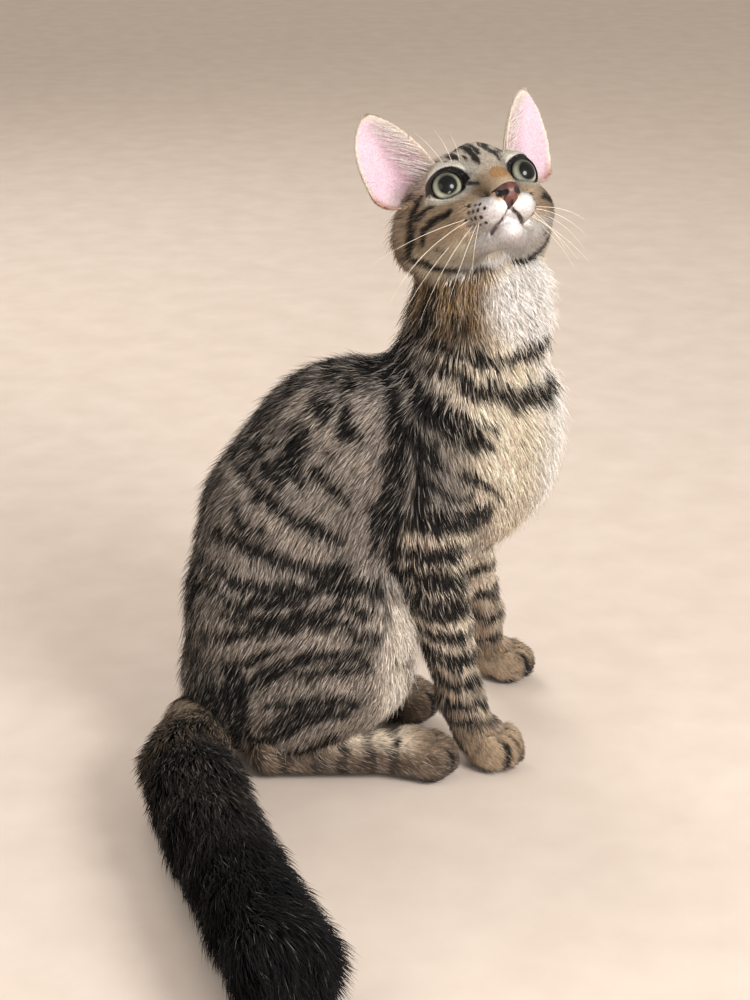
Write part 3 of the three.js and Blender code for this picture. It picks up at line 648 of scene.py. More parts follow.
# strokes on the head, alike on both sides: half width and the (x, |y|, z) they pass through in its frame
HEAD_STROKES = [
    (2.3, [(-19, 31, -1), (-19.6, 36, -9), (-22, 38, -18), (-28.6, 40, -25)]),
    (1.5, [(3.2, 26, -13.8), (-4.3, 32, -15.7), (-10.5, 35, -18.4), (-16, 35.4, -23.4)]),
    (1.2, [(-2, 29, -6), (-10, 33.5, -8.5), (-18, 36, -12)]),
    (2.0, [(-34, 40, -25), (-27.5, 36, -30.4), (-24.7, 28.7, -35.6), (-20.2, 20.3, -38.7)]),
    (1.0, [(-11.6, 31.4, -27.3), (-10.6, 27.3, -29.9)]),
    (1.7, [(-18, 0, -44), (-18, 13, -42.6), (-23.4, 24.6, -40.3)]),
    (1.5, [(6.2, 5.4, 7.0), (2, 5.2, 12), (-4.5, 4.6, 17.2), (-14, 5.5, 21.5)]),
    (1.6, [(-3.7, 12.5, 12.1), (-9, 12.6, 16), (-20, 11.5, 22), (-34, 12, 25)]),
    (1.3, [(-6, 2.0, 18.6), (-20, 2.6, 24), (-38, 3.5, 25.5), (-60, 4, 17)]),
    (1.2, [(-12, 20.5, 15), (-20, 19, 20), (-34, 19, 23), (-52, 15, 20)]),
    (1.9, [(-34, 9, 25.5), (-52, 10, 21), (-66, 10, 8)]),
    (1.1, [(-8, 8.2, 16.5), (-16, 8.2, 20.5), (-28, 7.6, 24)]), (1.0, [(-7, 16.4, 13.4), (-14, 15.8, 17.2), (-24, 15.4, 21)]),
    (0.9, [(3.4, 2.2, 12.2), (-2, 2.0, 16.2), (-8, 1.6, 19)]), (1.0, [(4.5, 7.6, 4.0), (1.0, 8.4, 9.0), (-3.0, 9.0, 13.5)]),
    (0.9, [(2.0, 22, -15.8), (-5, 27.5, -19.5), (-12, 31, -23.5)]), (1.3, [(-22, 27, 12), (-28, 33, 4), (-32, 37, -6)]), (1.2, [(-14, 33.5, -3), (-20, 37.5, -12), (-25, 39, -22)]),
    (1.0, [(-6.0, 30.0, -9.5), (-13, 34.5, -12.8), (-20, 37, -17.5)]), (1.2, [(-27, 33, 2), (-33, 38, -8), (-38, 41, -18)]),
]
SPOTS = np.array([(8.4, 17.5, -13.5), (11.6, 15.4, -13.9), (15.0, 14.2, -14.6), (7.2, 17.6, -16.6), (10.8, 16.6, -17.0), (14.6, 15.6, -17.4), (18.2, 13.2, -17.9),
                  (3.6, 18.6, -19.8), (7.5, 17.4, -20.4), (11.4, 16.7, -20.7), (15.2, 15.0, -21.2), (1.6, 17.2, -22.9), (6.4, 16.2, -23.4), (10.3, 14.7, -24.2), (14.4, 13.2, -24.6)])


def stroke(P, points, half):
    """1 on a stroke, 0 away from it, with soft ragged ends and edges"""
    pts = np.array(points, float)
    best = np.full(len(P), 1e9); end = np.zeros(len(P)); total = len(pts) - 1
    for n, (a, b) in enumerate(zip(pts, pts[1:])):
        ab = b - a
        t = np.clip((P - a) @ ab / (ab @ ab), 0, 1)
        d = np.linalg.norm(P - a - t[:, None] * ab, axis=1)
        m = d < best
        best[m] = d[m]; end[m] = (n + t[m]) / total
    w = half * (0.55 + 0.45 * np.sin(np.pi * np.clip(end, 0.04, 0.96)) ** 0.5)
    return 1 - step(w * 0.55, w * 1.45, best)


C = dict(
    flank=rgb(164, 154, 145), back=rgb(48, 41, 36), blade=rgb(60, 54, 53), cream=rgb(250, 234, 212), white=rgb(252, 246, 240), nape=rgb(96, 78, 58),
    dark=rgb(16, 14, 14), warm_dark=rgb(34, 25, 20), thigh=rgb(172, 160, 149), buff=rgb(248, 236, 222), belly=rgb(226, 212, 196), leg=rgb(222, 204, 184),
    leg_low=rgb(208, 186, 164), paw=rgb(166, 143, 117), hind=rgb(112, 94, 78), sole=rgb(52, 42, 37), tail0=rgb(146, 127, 106), tail1=rgb(54, 46, 42), tail2=rgb(12, 11, 12),
    forehead=rgb(230, 216, 200), cheek=rgb(198, 174, 146), muzzle=rgb(252, 244, 244), chin=rgb(252, 244, 244), rust=rgb(196, 148, 92), jaw=rgb(244, 226, 202),
    nape_head=rgb(150, 128, 102), ring=rgb(252, 244, 230), black=rgb(16, 13, 13), ear_back=rgb(106, 88, 72), ear_rim=rgb(240, 222, 204),
    ear_pink=rgb(228, 198, 212), ear_cup_shade=rgb(184, 134, 154), fold=rgb(150, 84, 66), lip=rgb(66, 48, 48), leather=rgb(86, 48, 44), leather_dark=rgb(30, 22, 24))


def paint(P, N, part, PH, ear):
    """(colour of the ground, colour of the dark hairs, how dark the marking is, how much light ticking) at places on the skin"""
    n = len(P)
    x, y, z = P.T
    nx = N[:, 0]
    G = np.tile(C["flank"], (n, 1)); K = np.tile(C["dark"], (n, 1)); D = np.zeros(n); tick = np.full(n, 0.6)
    wob = P + 3.2 * np.stack([noise(P, 9, 1), noise(P, 9, 2), noise(P, 9, 3)], 1) + 1.3 * np.stack([noise(P, 3.5, 4), noise(P, 3.5, 5), noise(P, 3.5, 6)], 1)
    _, _, Cn = along(P, SPINE)
    out = units(P - Cn)
    near = y < Cn[:, 1]
    # ground of the trunk and neck
    G = mix(G, np.tile(C["thigh"], (n, 1)), step(120, 90, z))
    blade = np.exp(-(((x - 26) / 26) ** 2 + ((z - 196) / 34) ** 2))
    G = mix(G, np.tile(C["blade"], (n, 1)), 0.85 * blade)
    chest = step(30, 60, x + 0.25 * (z - 190) + 4 * noise(P, 16, 8)) * step(96, 120, z)
    G = mix(G, np.tile(C["cream"], (n, 1)), chest)
    G = mix(G, np.tile(C["white"], (n, 1)), chest * step(0.25, 0.8, nx) * step(78, 100, x + 0.1 * np.abs(z - 190)))
    nape = step(222, 250, z) * step(0.35, -0.25, nx)
    G = mix(G, np.tile(C["nape"], (n, 1)), nape)
    side_neck = step(236, 262, z) * step(84, 58, x) * (part < 2)
    G = mix(G, np.tile(rgb(150, 122, 88), (n, 1)), 0.85 * side_neck)
    bib = np.exp(-(((x - 83) / 29) ** 2 + ((y + 6) / 36) ** 2 + ((z - 262) / 27) ** 2))
    G = mix(G, np.tile(C["white"], (n, 1)), step(0.22, 0.6, bib))
    belly = step(0.1, 0.75, nx) * step(128, 100, z) + step(-0.2, -0.8, N[:, 2]) * step(-30, 0, x) * step(140, 110, z)
    G = mix(G, np.tile(C["belly"], (n, 1)), np.clip(belly, 0, 1) * (part < 3))
    dorsal = step(0.25, 0.86, out @ unit((-0.80, 0, 0.60))) * step(40, 8, np.abs(y - Cn[:, 1])) * step(262, 236, z) * (x < 40)
    dorsal = np.maximum(dorsal, step(30, 8, np.abs(y + 14)) * step(-84, -100, x) * (z < 130) * (z > 40))
    D = np.maximum(D, 0.84 * dorsal)
    D = np.maximum(D, 0.8 * step(-70, -92, x + 0.25 * (z - 60)) * (z < 150) * (part != 7))
    tick += 0.15 * dorsal
    # strokes on both sides; the far side's are shifted and mirrored
    side = part < 7
    body = side & ((part < 2) | (part == 5) | (part == 6) | ((part == 3) | (part == 4)) & (z > 128))
    for sgn, dx, dz in ((True, 0.0, 0.0), (False, 5.0, -5.0)):
        m = np.flatnonzero(body & (near == sgn) & (np.abs(y - Cn[:, 1]) > 4))
        if not len(m):
            continue
        Q = wob[m][:, [0, 2]] - np.array((dx, dz))
        for half, pts in DARK_STROKES:
            D[m] = np.maximum(D[m], 0.96 * stroke(Q, pts, half * 1.25))
        for half, pts in LIGHT_STROKES:
            l = stroke(Q, pts, half * 1.2)
            D[m] *= 1 - 0.8 * l
            tick[m] += 0.55 * l
            G[m] = mix(G[m], np.tile(rgb(196, 182, 170), (len(m), 1)), 0.55 * l)
    nape_lane = step(238, 250, z) * step(0.0, -0.6, nx) * (part < 2) * step(0.2, 0.7, 0.5 + 0.5 * np.cos((wob[:, 1] - Cn[:, 1]) * 0.36))
    D = np.maximum(D, 0.8 * nape_lane)
    neck = step(232, 246, z) * step(100, 70, x) * (part < 2)          # ticked ruff at the sides of the neck
    D = np.clip(D + 0.75 * neck * step(0.12, 0.5, noise(P * np.array([1, 1, 0.5]), 7, 33)) * (1 - step(0.22, 0.6, bib)), 0, 1)
    # legs
    for k, rings in ((3, NEAR_LEG_RINGS), (4, FAR_LEG_RINGS)):
        m = np.flatnonzero((part == k) & (z < 160))
        if not len(m):
            continue
        zz = wob[m, 2] + 0.12 * (x[m] - 40) - 1.5
        g = mix(np.tile(C["leg"], (len(m), 1)), np.tile(C["leg_low"], (len(m), 1)), step(80, 40, z[m]))
        g = mix(g, np.tile(C["cream"], (len(m), 1)), 0.85 * step(-0.1, 0.7, nx[m]) * step(20, 40, z[m]))
        g = mix(g, np.tile(C["paw"], (len(m), 1)), step(30, 18, z[m]))
        w = step(160, 142, z[m])
        G[m] = mix(G[m], g, w)
        ring = np.zeros(len(m))
        for h, half in rings:
            ring = np.maximum(ring, 1 - step(half * 1.15, half * 1.9, np.abs(zz - h)))
        around = 0.7 + 0.3 * step(0.98, 0.3, nx[m])
        D[m] = np.maximum(D[m] * step(128, 150, z[m]), 1.0 * ring * (0.35 + 0.65 * around))
        D[m] = np.maximum(D[m], 0.5 * step(-0.1, -0.9, nx[m]) * step(20, 34, z[m]) * w)
    m = (part == 5) | (part == 6)
    front = step(0.10, 0.6, nx) * step(118, 96, z) * step(0, 12, x + 0.12 * z)
    G[m] = mix(G[m], np.tile(C["buff"], (m.sum(), 1)), front[m])
    D[m] *= 1 - 0.75 * front[m]
    low = step(40, 20, z) * m
    G = mix(G, np.tile(C["hind"], (n, 1)), low * step(-50, -20, x))
    m = (part == 8) | (part == 9)
    if m.any():
        G[m] = mix(np.tile(C["hind"], (m.sum(), 1)), np.tile(C["paw"], (m.sum(), 1)), step(14, 26, z[m]) * 0.5)
        G[m] = mix(G[m], np.tile(C["cream"], (m.sum(), 1)), 0.55 * step(16, 25, z[m]) * step(-44, -30, x[m]) * step(30, 12, x[m]))
        D[m] = 0.75 * (1 - step(0.30, 0.62, 0.5 + 0.5 * np.sin(wob[m, 0] * 0.42))) * step(24, 12, x[m]) + 0.45 * step(0.15, 0.6, noise(P[m], 6, 60))
        # the lowest few millimetres go dark: painted shade where the paw meets the floor
        D[m] = np.maximum(D[m], 0.8 * step(9, 3, z[m]))
        tick[m] = 0.3
    # the lowest few millimetres of the paws go dark: painted shade where they meet the floor; the noise part is random
    # tone
    paws = (z < 30) & ((part == 3) | (part == 4) | (part > 7))
    D[paws] = np.maximum(D[paws] * 0.8, 0.9 * step(6.5, 2.0, z[paws]) + 0.3 * step(0.2, 0.6, noise(P[paws], 4.5, 61)))
    # dark lines in the gaps between the toes: painted shade in the creases between them
    for q in PAWS:
        R = (P - q["at"]) / q["size"]
        a, b = R @ q["X"], R @ q["Y"]
        m = np.flatnonzero((np.abs(b) < 17) & (a > 2) & (a < 26) & (z < 24))
        if len(m):
            g = np.min([np.abs(b[m] - e) for e in (-6.6, 0, 6.6)], axis=0)
            D[m] = np.maximum(D[m], 0.95 * step(2.0, 0.7, g) * step(4, 10, a[m]) * step(23, 17, z[m]))
    # tail
    m = part == 7
    if m.any():
        _, S, _ = along(P[m], TAIL_PATH)
        g = mix(np.tile(C["tail0"], (m.sum(), 1)), np.tile(C["tail1"], (m.sum(), 1)), step(35, 110, S))
        g = mix(g, np.tile(C["tail2"], (m.sum(), 1)), step(150, 235, S))
        G[m] = g
        K[m] = C["tail2"]
        band = 0.5 + 0.5 * np.sin((S + 5 * noise(P[m], 12, 20)) / 21.0 * 2 * np.pi)
        D[m] = np.maximum(0.30 + 0.5 * step(0.4, 0.85, band), step(150, 235, S) * 0.8)
        tick[m] = 0.7 * (1 - 0.85 * step(70, 190, S)) * (0.5 + 0.5 * step(-0.2, 0.4, noise(P[m], 14, 63)))
    # broken marbling everywhere on the body, so that no area is one flat tone
    body = (part != 2)
    mar = noise(P * np.array([1, 1, 0.62]), 14, 31) * 0.5 + noise(P * np.array([1, 1, 0.7]), 5.5, 32) * 0.6
    amount = np.where(chest > 0.4, 0.12, 0.80) * (part < 8)
    D = np.where(body, np.clip(D + amount * step(0.08, 0.62, mar) * 0.75, 0, 1), D)
    # head
    m = np.flatnonzero((part == 2) | (ear > 0))
    if len(m):
        h = PH[m]; hx, hy, hz = h.T; ay = np.abs(hy)
        wh = h + 0.8 * np.stack([noise(h, 4, 41), noise(h, 4, 42), noise(h, 4, 43)], 1)
        g = np.tile(C["cheek"], (len(m), 1)); d = np.zeros(len(m)); k = np.tile(C["warm_dark"], (len(m), 1)); t = np.full(len(m), 0.35)
        g = mix(g, np.tile(C["forehead"], (len(m), 1)), step(-2, 7, hz))
        g = mix(g, np.tile(C["nape_head"], (len(m), 1)), step(-26, -42, hx))
        g = mix(g, np.tile(C["jaw"], (len(m), 1)), step(-22, -32, hz) * step(-40, -28, hx))
        under = step(-36, -43, hz + 0.15 * hx) * step(-50, -30, hx) * step(26, 16, ay)
        g = mix(g, np.tile(C["white"], (len(m), 1)), under)
        g = mix(g, np.tile(C["white"], (len(m), 1)), step(1, 9, hy) * step(-19, -27, hz) * step(-36, -22, hx))
        Q = h.copy(); Q[:, 1] = ay
        wq = wh.copy(); wq[:, 1] = np.abs(wh[:, 1])
        for half, pts in HEAD_STROKES:
            d = np.maximum(d, 1.0 * stroke(wq, pts, half * 1.35))
        fine_ = noise(h, 3.2, 44)
        d = np.clip(d + 0.62 * step(0.2, 0.55, fine_) * step(2, 10, hz) * step(24, 14, ay), 0, 1)
        d = np.clip(d + 0.30 * step(0.2, 0.6, noise(h * np.array([0.6, 1, 1.4]), 4, 45)) * step(-12, -22, hx), 0, 1)
        rear = step(-30, -44, hx)
        lanes = step(0.25, 0.75, 0.5 + 0.5 * np.cos(wh[:, 1] * 0.42)) * step(26, 14, ay) * step(-30, -18, hz)
        d = np.clip(np.maximum(d, 0.85 * rear * lanes) + 0.4 * rear * step(0.15, 0.5, noise(h, 5, 62)), 0, 1)
        # rust bridge of the nose, dark edge beside the leather
        r = (((h - np.array((15.0, 0, -1.8))) / np.array((7.5, 5.4, 5.4))) ** 2).sum(1)
        g = mix(g, np.tile(C["rust"], (len(m), 1)), step(1.25, 0.5, r)); d *= step(0.6, 1.3, r)
        # muzzle and chin
        r = (((Q - np.array((9.0, 8.6, -20.5))) / np.array((15.5, 11.5, 9.0))) ** 2).sum(1)
        muz = step(1.25, 0.85, r + 0.15 * noise(h, 3, 46)) * step(-9.5, -13.0, hz - 0.12 * (ay - 6))
        side_ = step(13, 18, ay)
        g = mix(g, mix(np.tile(C["muzzle"], (len(m), 1)), np.tile(rgb(234, 216, 202), (len(m), 1)), side_), muz); d *= 1 - muz
        r = (((h - np.array((4.5, 0, -34))) / np.array((17, 16.5, 11.0))) ** 2).sum(1)
        chn = step(1.2, 0.8, r + 0.12 * noise(h, 3, 47))
        g = mix(g, np.tile(C["chin"], (len(m), 1)), chn); d *= 1 - chn
        # whisker spots
        dist = np.min([np.linalg.norm(Q - c, axis=1) for c in SPOTS + np.array((0, 0.0, 0))], axis=0)
        spot = 1 - step(0.85, 1.45, dist)
        d = np.maximum(d, spot)
        # the skin in and round the nostrils is painted black: painted shade inside the openings
        for a, b, r, kk in NOSTRILS:
            hole = 1 - step(1.6, 2.6, capsule(h, a, b, 0.0)); k = mix(k, np.tile(C['black'], (len(m), 1)), hole); d = np.maximum(d, hole)
        # rings round the eyes and their black liner
        for s in (-1, 1):
            e, ex, ea, eb = eye_plan(h, s)
            on = (ex > -3) & (np.sign(hy) == s)
            pale = (1 - step(4.0, 7.6, e + 0.7 * fine_)) * on * np.where(eb > 0, step(-9.5, -4, ea) * 0 + 1, 1.0)
            pale = np.where(eb < 0, (1 - step(2.6, 5.0, e)) * on, pale)
            g = mix(g, np.tile(C["ring"], (len(m), 1)), 0.96 * pale); d *= 1 - pale
            liner = np.where(eb > -1.0, 1 - step(1.9, 2.6, e), 1 - step(0.6, 1.1, e)) * on
            # the inner corner runs on towards the nose
            a0, b0 = np.array((-2.0, 12.9 * s, 0.2)), np.array((6.4, 8.0 * s, -2.6))
            ab = b0 - a0; tt = np.clip((h - a0) @ ab / (ab @ ab), 0, 1)
            tear = 1 - step(0.9 - 0.4 * tt, 2.1 - 0.8 * tt, np.linalg.norm(h - a0 - tt[:, None] * ab, axis=1))
            a0, b0 = np.array((-3.5, 29.5 * s, -1.5)), np.array((-11, 33 * s, -3.5))
            ab = b0 - a0; tt = np.clip((h - a0) @ ab / (ab @ ab), 0, 1)
            tail_ = 1 - step(0.5, 1.5, np.linalg.norm(h - a0 - tt[:, None] * ab, axis=1))
            liner = np.clip(np.maximum(np.maximum(liner, 0.85 * tear), 0.7 * tail_), 0, 1)
            k = mix(k, np.tile(C["black"], (len(m), 1)), step(0.2, 0.7, liner)); d = np.maximum(d, liner)
        # lips
        lips = np.zeros(len(m))
        for a, b, r, kk in MOUTH:
            lips = np.maximum(lips, 1 - step(0.9, 1.8, capsule(h, a, b, 0.0)))
        for a, b, r, kk in GROOVES[:2]:
            lips = np.maximum(lips, 1 - step(0.5, 1.2, capsule(h, a, b, 0.0)))
        k = mix(k, np.tile(C["lip"], (len(m), 1)), lips); d = np.maximum(d, 0.9 * lips)
        # ears
        e = ear[m]
        for s in (-1, 1):
            u, v, w = ear_uvw(h, s)
            vi, vo = ear_edges(w)
            rim = np.minimum(np.minimum(v - vi, vo - v), EAR_L - w)
            i = (e == 2) & (np.sign(hy) == s)
            # the cup goes to darker mauve towards its base and inner edge: painted shade deep in the cup over the pink
            # skin
            pink = mix(np.tile(C["ear_cup_shade"], (len(m), 1)), np.tile(C["ear_pink"], (len(m), 1)), np.clip(0.62 + 0.012 * (w - 8) + 0.035 * v + 0.25 * noise(h, 12, 50), 0, 1))
            pink = mix(pink, np.tile(rgb(236, 220, 204), (len(m), 1)), 0.75 * step(vi + 9, vi + 1.5, v))
            pink = mix(pink, np.tile(C["ear_rim"], (len(m), 1)), 1 - step(0.6, 2.6, rim))
            base = step(4, -7, w)
            pink = mix(pink, np.tile(C["forehead"], (len(m), 1)), base * 0.5)
            low_fold = (1 - step(1.0, 4.2, vo - v)) * step(8, -1, w)
            pink = mix(pink, np.tile(rgb(160, 92, 72), (len(m), 1)), 0.7 * low_fold)
            g[i] = pink[i]; d[i] = 0.0; t[i] = 0
            i = (e == 1) & (np.sign(hy) == s)
            back = mix(np.tile(C["ear_back"], (len(m), 1)), np.tile(C["ear_rim"], (len(m), 1)), 0.8 * (1 - step(0.3, 2.2, rim)))
            back = mix(back, np.tile(C["fold"], (len(m), 1)), step(10, 17, v) * step(9, 2, w) * step(-9, -4, w))
            g[i] = back[i]; d[i] = (0.55 * step(0.0, 0.6, noise(h, 8, 51)) * step(2, 5, rim) + 0.25 * step(2, 6, rim))[i]
        G[m], K[m], D[m], tick[m] = g, k, d, t
    return G, K, np.clip(D, 0, 1), np.clip(tick, 0, 1)


SG, SK, SD, STICK = paint(SV, SN, SPART, SHEAD, SEAR)
SKIN_RGB = mix(SG, SK, SD)
clock("markings")


# ---------------------------------------------------------------- into the row frame
def corner(v): return np.array([v.x, v.y, v.z])
lo_, hi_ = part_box("eye_right")
SHIFT = (corner(lo_) + corner(hi_)) / 2 * 1000 - from_head(EYE_AT * np.array([1, -1, 1]))


def placed(P):
    return (P + SHIFT) * 0.001


def make(name, P, quads=None, tris=None, colours=None, smooth=True):
    """a mesh object from points in the working frame"""
    me = bpy.data.meshes.new(name)
    parts_ = [a for a in (quads, tris) if a is not None and len(a)]
    loops = np.concatenate([a.ravel() for a in parts_]).astype(np.int32)
    sizes = np.concatenate([np.full(len(a), a.shape[1]) for a in parts_])
    me.vertices.add(len(P)); me.vertices.foreach_set("co", placed(P).astype(np.float32).ravel())
    me.loops.add(len(loops)); me.loops.foreach_set("vertex_index", loops)
    me.polygons.add(len(sizes)); me.polygons.foreach_set("loop_start", (np.cumsum(sizes) - sizes).astype(np.int32))
    me.polygons.foreach_set("use_smooth", np.full(len(sizes), smooth))
    me.update(calc_edges=True)
    if colours is not None:
        a = me.color_attributes.new("tone", "FLOAT_COLOR", "POINT")
        a.data.foreach_set("color", np.concatenate([colours, np.ones((len(colours), 1))], 1).astype(np.float32).ravel())
    o = bpy.data.objects.new(name, me)
    bpy.context.scene.collection.objects.link(o)
    return o


def number(o, name, values):
    a = o.data.attributes.new(name, "FLOAT", "POINT")
    a.data.foreach_set("value", np.asarray(values, np.float32))


# ---------------------------------------------------------------- materials
def material(name):
    m = bpy.data.materials.new(name); m.use_nodes = True
    nt = m.node_tree
    return m, nt, nt.nodes["Principled BSDF"]


def node(nt, kind, **values):
    n = nt.nodes.new(kind)
    for k, v in values.items():
        if k in n.inputs: n.inputs[k].default_value = v
        else: setattr(n, k, v)
    return n


def tone_times(nt, low, high, scale, detail=3.0, stretch=None, name="tone"):
    """the piece's own tone, lightened and darkened by noise"""
    a = node(nt, "ShaderNodeAttribute", attribute_name=name)
    tc = node(nt, "ShaderNodeTexCoord")
    n = node(nt, "ShaderNodeTexNoise", Scale=scale, Detail=detail, Roughness=0.6)
    if stretch:
        mp = node(nt, "ShaderNodeMapping"); mp.inputs["Scale"].default_value = stretch
        nt.links.new(tc.outputs["Object"], mp.inputs["Vector"]); nt.links.new(mp.outputs["Vector"], n.inputs["Vector"])
    else:
        nt.links.new(tc.outputs["Object"], n.inputs["Vector"])
    r = node(nt, "ShaderNodeMapRange"); r.inputs["From Min"].default_value = 0.3; r.inputs["From Max"].default_value = 0.7
    r.inputs["To Min"].default_value = low; r.inputs["To Max"].default_value = high
    nt.links.new(n.outputs["Fac"], r.inputs["Value"])
    v = node(nt, "ShaderNodeVectorMath", operation="SCALE")
    nt.links.new(a.outputs["Color"], v.inputs[0]); nt.links.new(r.outputs["Result"], v.inputs["Scale"])
    return v.outputs["Vector"], n.outputs["Fac"], tc


def coat_material():
    m, nt, b = material("coat_hair")
    col, f, tc = tone_times(nt, 0.86, 1.16, 900, 2.0)
    nt.links.new(col, b.inputs["Base Color"])
    b.inputs["Roughness"].default_value = 0.62
    b.inputs["Specular IOR Level"].default_value = 0.16
    b.inputs["Sheen Weight"].default_value = 0.04
    b.inputs["Sheen Roughness"].default_value = 0.5
    return m


def skin_material():
    m, nt, b = material("short_coat_on_skin")
    col, f, tc = tone_times(nt, 0.74, 1.2, 1100, 4.0)
    nt.links.new(col, b.inputs["Base Color"])
    n2 = node(nt, "ShaderNodeTexNoise", Scale=1600.0, Detail=3.0)
    nt.links.new(tc.outputs["Object"], n2.inputs["Vector"])
    rough = node(nt, "ShaderNodeMapRange"); rough.inputs["To Min"].default_value = 0.62; rough.inputs["To Max"].default_value = 0.85
    nt.links.new(n2.outputs["Fac"], rough.inputs["Value"]); nt.links.new(rough.outputs["Result"], b.inputs["Roughness"])
    bump = node(nt, "ShaderNodeBump", Strength=0.5, Distance=0.0004)
    nt.links.new(n2.outputs["Fac"], bump.inputs["Height"]); nt.links.new(bump.outputs["Normal"], b.inputs["Normal"])
    b.inputs["Specular IOR Level"].default_value = 0.25
    b.inputs["Sheen Weight"].default_value = 0.15
    return m


COAT, SKIN = coat_material(), skin_material()
# the skin takes the markings darkened by 0.92: painted shade under the coat
skin_piece = make("skin", SV, SQ, ST, SKIN_RGB * 0.92)
skin_piece.data.materials.append(SKIN)
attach(skin_piece, "root")
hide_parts(*[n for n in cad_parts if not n.startswith("eye_") and n != "nose"])
clock("skin piece")


# ---------------------------------------------------------------- eyes
def eyeball(s):
    """a ball with a low clear dome over the iris; rings run round the way it looks"""
    C_, X, Y, Z = eye_frame(s)
    ang = np.concatenate([np.linspace(0.0, 62, 44), np.linspace(66, 180, 22)[:]])
    ang = np.radians(ang)
    K_ = 96
    th = np.arange(K_) / K_ * 2 * np.pi
    P = []; polar = []
    for i, a in enumerate(ang):
        r = EYE_R + 0.55 * np.clip(1 - (np.degrees(a) / 50) ** 2, 0, 1) ** 1.2
        if i == 0 or i == len(ang) - 1:
            P.append((C_ + X * r * np.cos(a))[None]); polar.append(np.array([[0, 0, np.degrees(a) / 90]])); continue
        d = np.cos(a) * X + np.sin(a) * (np.cos(th)[:, None] * Y + np.sin(th)[:, None] * Z)
        P.append(C_ + r * d); polar.append(np.stack([np.cos(th), np.sin(th), np.full(K_, np.degrees(a) / 90)], 1))
    P = np.concatenate(P); polar = np.concatenate(polar)
    n = len(ang); quads = []; tris = []
    ring = lambda i: 1 + (i - 1) * K_
    for j in range(K_):
        k = (j + 1) % K_
        tris.append((0, ring(1) + j, ring(1) + k))
        for i in range(1, n - 2):
            quads.append((ring(i) + j, ring(i + 1) + j, ring(i + 1) + k, ring(i) + k))
        tris.append((ring(n - 2) + j, len(P) - 1, ring(n - 2) + k))
    q, t = np.array(quads), np.array(tris)
    if s < 0:
        pass
    side = "left" if s > 0 else "right"
    W = from_head(P)
    # faces turned outwards
    a, b, c = W[q[:, 0]], W[q[:, 1]], W[q[:, 2]]
    if (np.cross(b - a, c - b) * (a - from_head(C_))).sum(1).mean() < 0:
        q = q[:, ::-1]; t = t[:, ::-1]
    o = make("eyeball_" + side, W, q, t)
    at = o.data.attributes.new("polar", "FLOAT_VECTOR", "POINT"); at.data.foreach_set("vector", polar.astype(np.float32).ravel())
    o.data.materials.append(EYE)
    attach(o, "root"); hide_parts("eye_" + side)
    return o


def eye_material():
    m, nt, b = material("eye")
    a = node(nt, "ShaderNodeAttribute", attribute_name="polar")
    sx = node(nt, "ShaderNodeSeparateXYZ"); nt.links.new(a.outputs["Vector"], sx.inputs[0])
    stretch = node(nt, "ShaderNodeMapping"); stretch.inputs["Scale"].default_value = (14, 14, 3.2)
    nt.links.new(a.outputs["Vector"], stretch.inputs["Vector"])
    n = node(nt, "ShaderNodeTexNoise", Scale=1.0, Detail=5.0, Roughness=0.65); nt.links.new(stretch.outputs["Vector"], n.inputs["Vector"])
    off = node(nt, "ShaderNodeMath", operation="MULTIPLY_ADD"); off.inputs[1].default_value = 0.05; off.inputs[2].default_value = -0.025
    nt.links.new(n.outputs["Fac"], off.inputs[0])
    add = node(nt, "ShaderNodeMath", operation="ADD"); nt.links.new(sx.outputs["Z"], add.inputs[0]); nt.links.new(off.outputs[0], add.inputs[1])
    ramp = node(nt, "ShaderNodeValToRGB")
    stops = [(0.0, (5, 7, 11)), (0.305, (5, 7, 11)), (0.325, (80, 82, 68)), (0.36, (132, 134, 114)), (0.43, (178, 179, 162)), (0.50, (170, 171, 156)), (0.55, (104, 102, 88)), (0.585, (22, 20, 17)), (0.62, (18, 15, 14)), (0.68, (140, 120, 106)), (1.0, (190, 168, 156))]
    cr = ramp.color_ramp
    while len(cr.elements) < len(stops): cr.elements.new(0.5)
    for e, (p, c) in zip(cr.elements, stops): e.position = p; e.color = (*rgb(*c), 1)
    nt.links.new(add.outputs[0], ramp.inputs["Fac"])
    mul = node(nt, "ShaderNodeMapRange"); mul.inputs["From Min"].default_value = 0.3; mul.inputs["From Max"].default_value = 0.7; mul.inputs["To Min"].default_value = 0.78; mul.inputs["To Max"].default_value = 1.16
    nt.links.new(n.outputs["Fac"], mul.inputs["Value"])
    # the iris darkens towards the top and brightens towards the bottom: painted shade from the upper lid, and a painted
    # reflection on the lower half
    lid = node(nt, "ShaderNodeMapRange"); lid.inputs["From Min"].default_value = -0.7; lid.inputs["From Max"].default_value = 0.9; lid.inputs["To Min"].default_value = 1.15; lid.inputs["To Max"].default_value = 0.42
    nt.links.new(sx.outputs["Y"], lid.inputs["Value"])
    both = node(nt, "ShaderNodeMath", operation="MULTIPLY"); nt.links.new(mul.outputs["Result"], both.inputs[0]); nt.links.new(lid.outputs["Result"], both.inputs[1])
    v = node(nt, "ShaderNodeVectorMath", operation="SCALE"); nt.links.new(ramp.outputs["Color"], v.inputs[0]); nt.links.new(both.outputs[0], v.inputs["Scale"])
    nt.links.new(v.outputs["Vector"], b.inputs["Base Color"])
    b.inputs["Roughness"].default_value = 0.4
    b.inputs["Specular IOR Level"].default_value = 0.12
    b.inputs["Coat Weight"].default_value = 0.62
    b.inputs["Coat Roughness"].default_value = 0.02
    return m


EYE = eye_material()
for s in (-1, 1):
    eyeball(s)


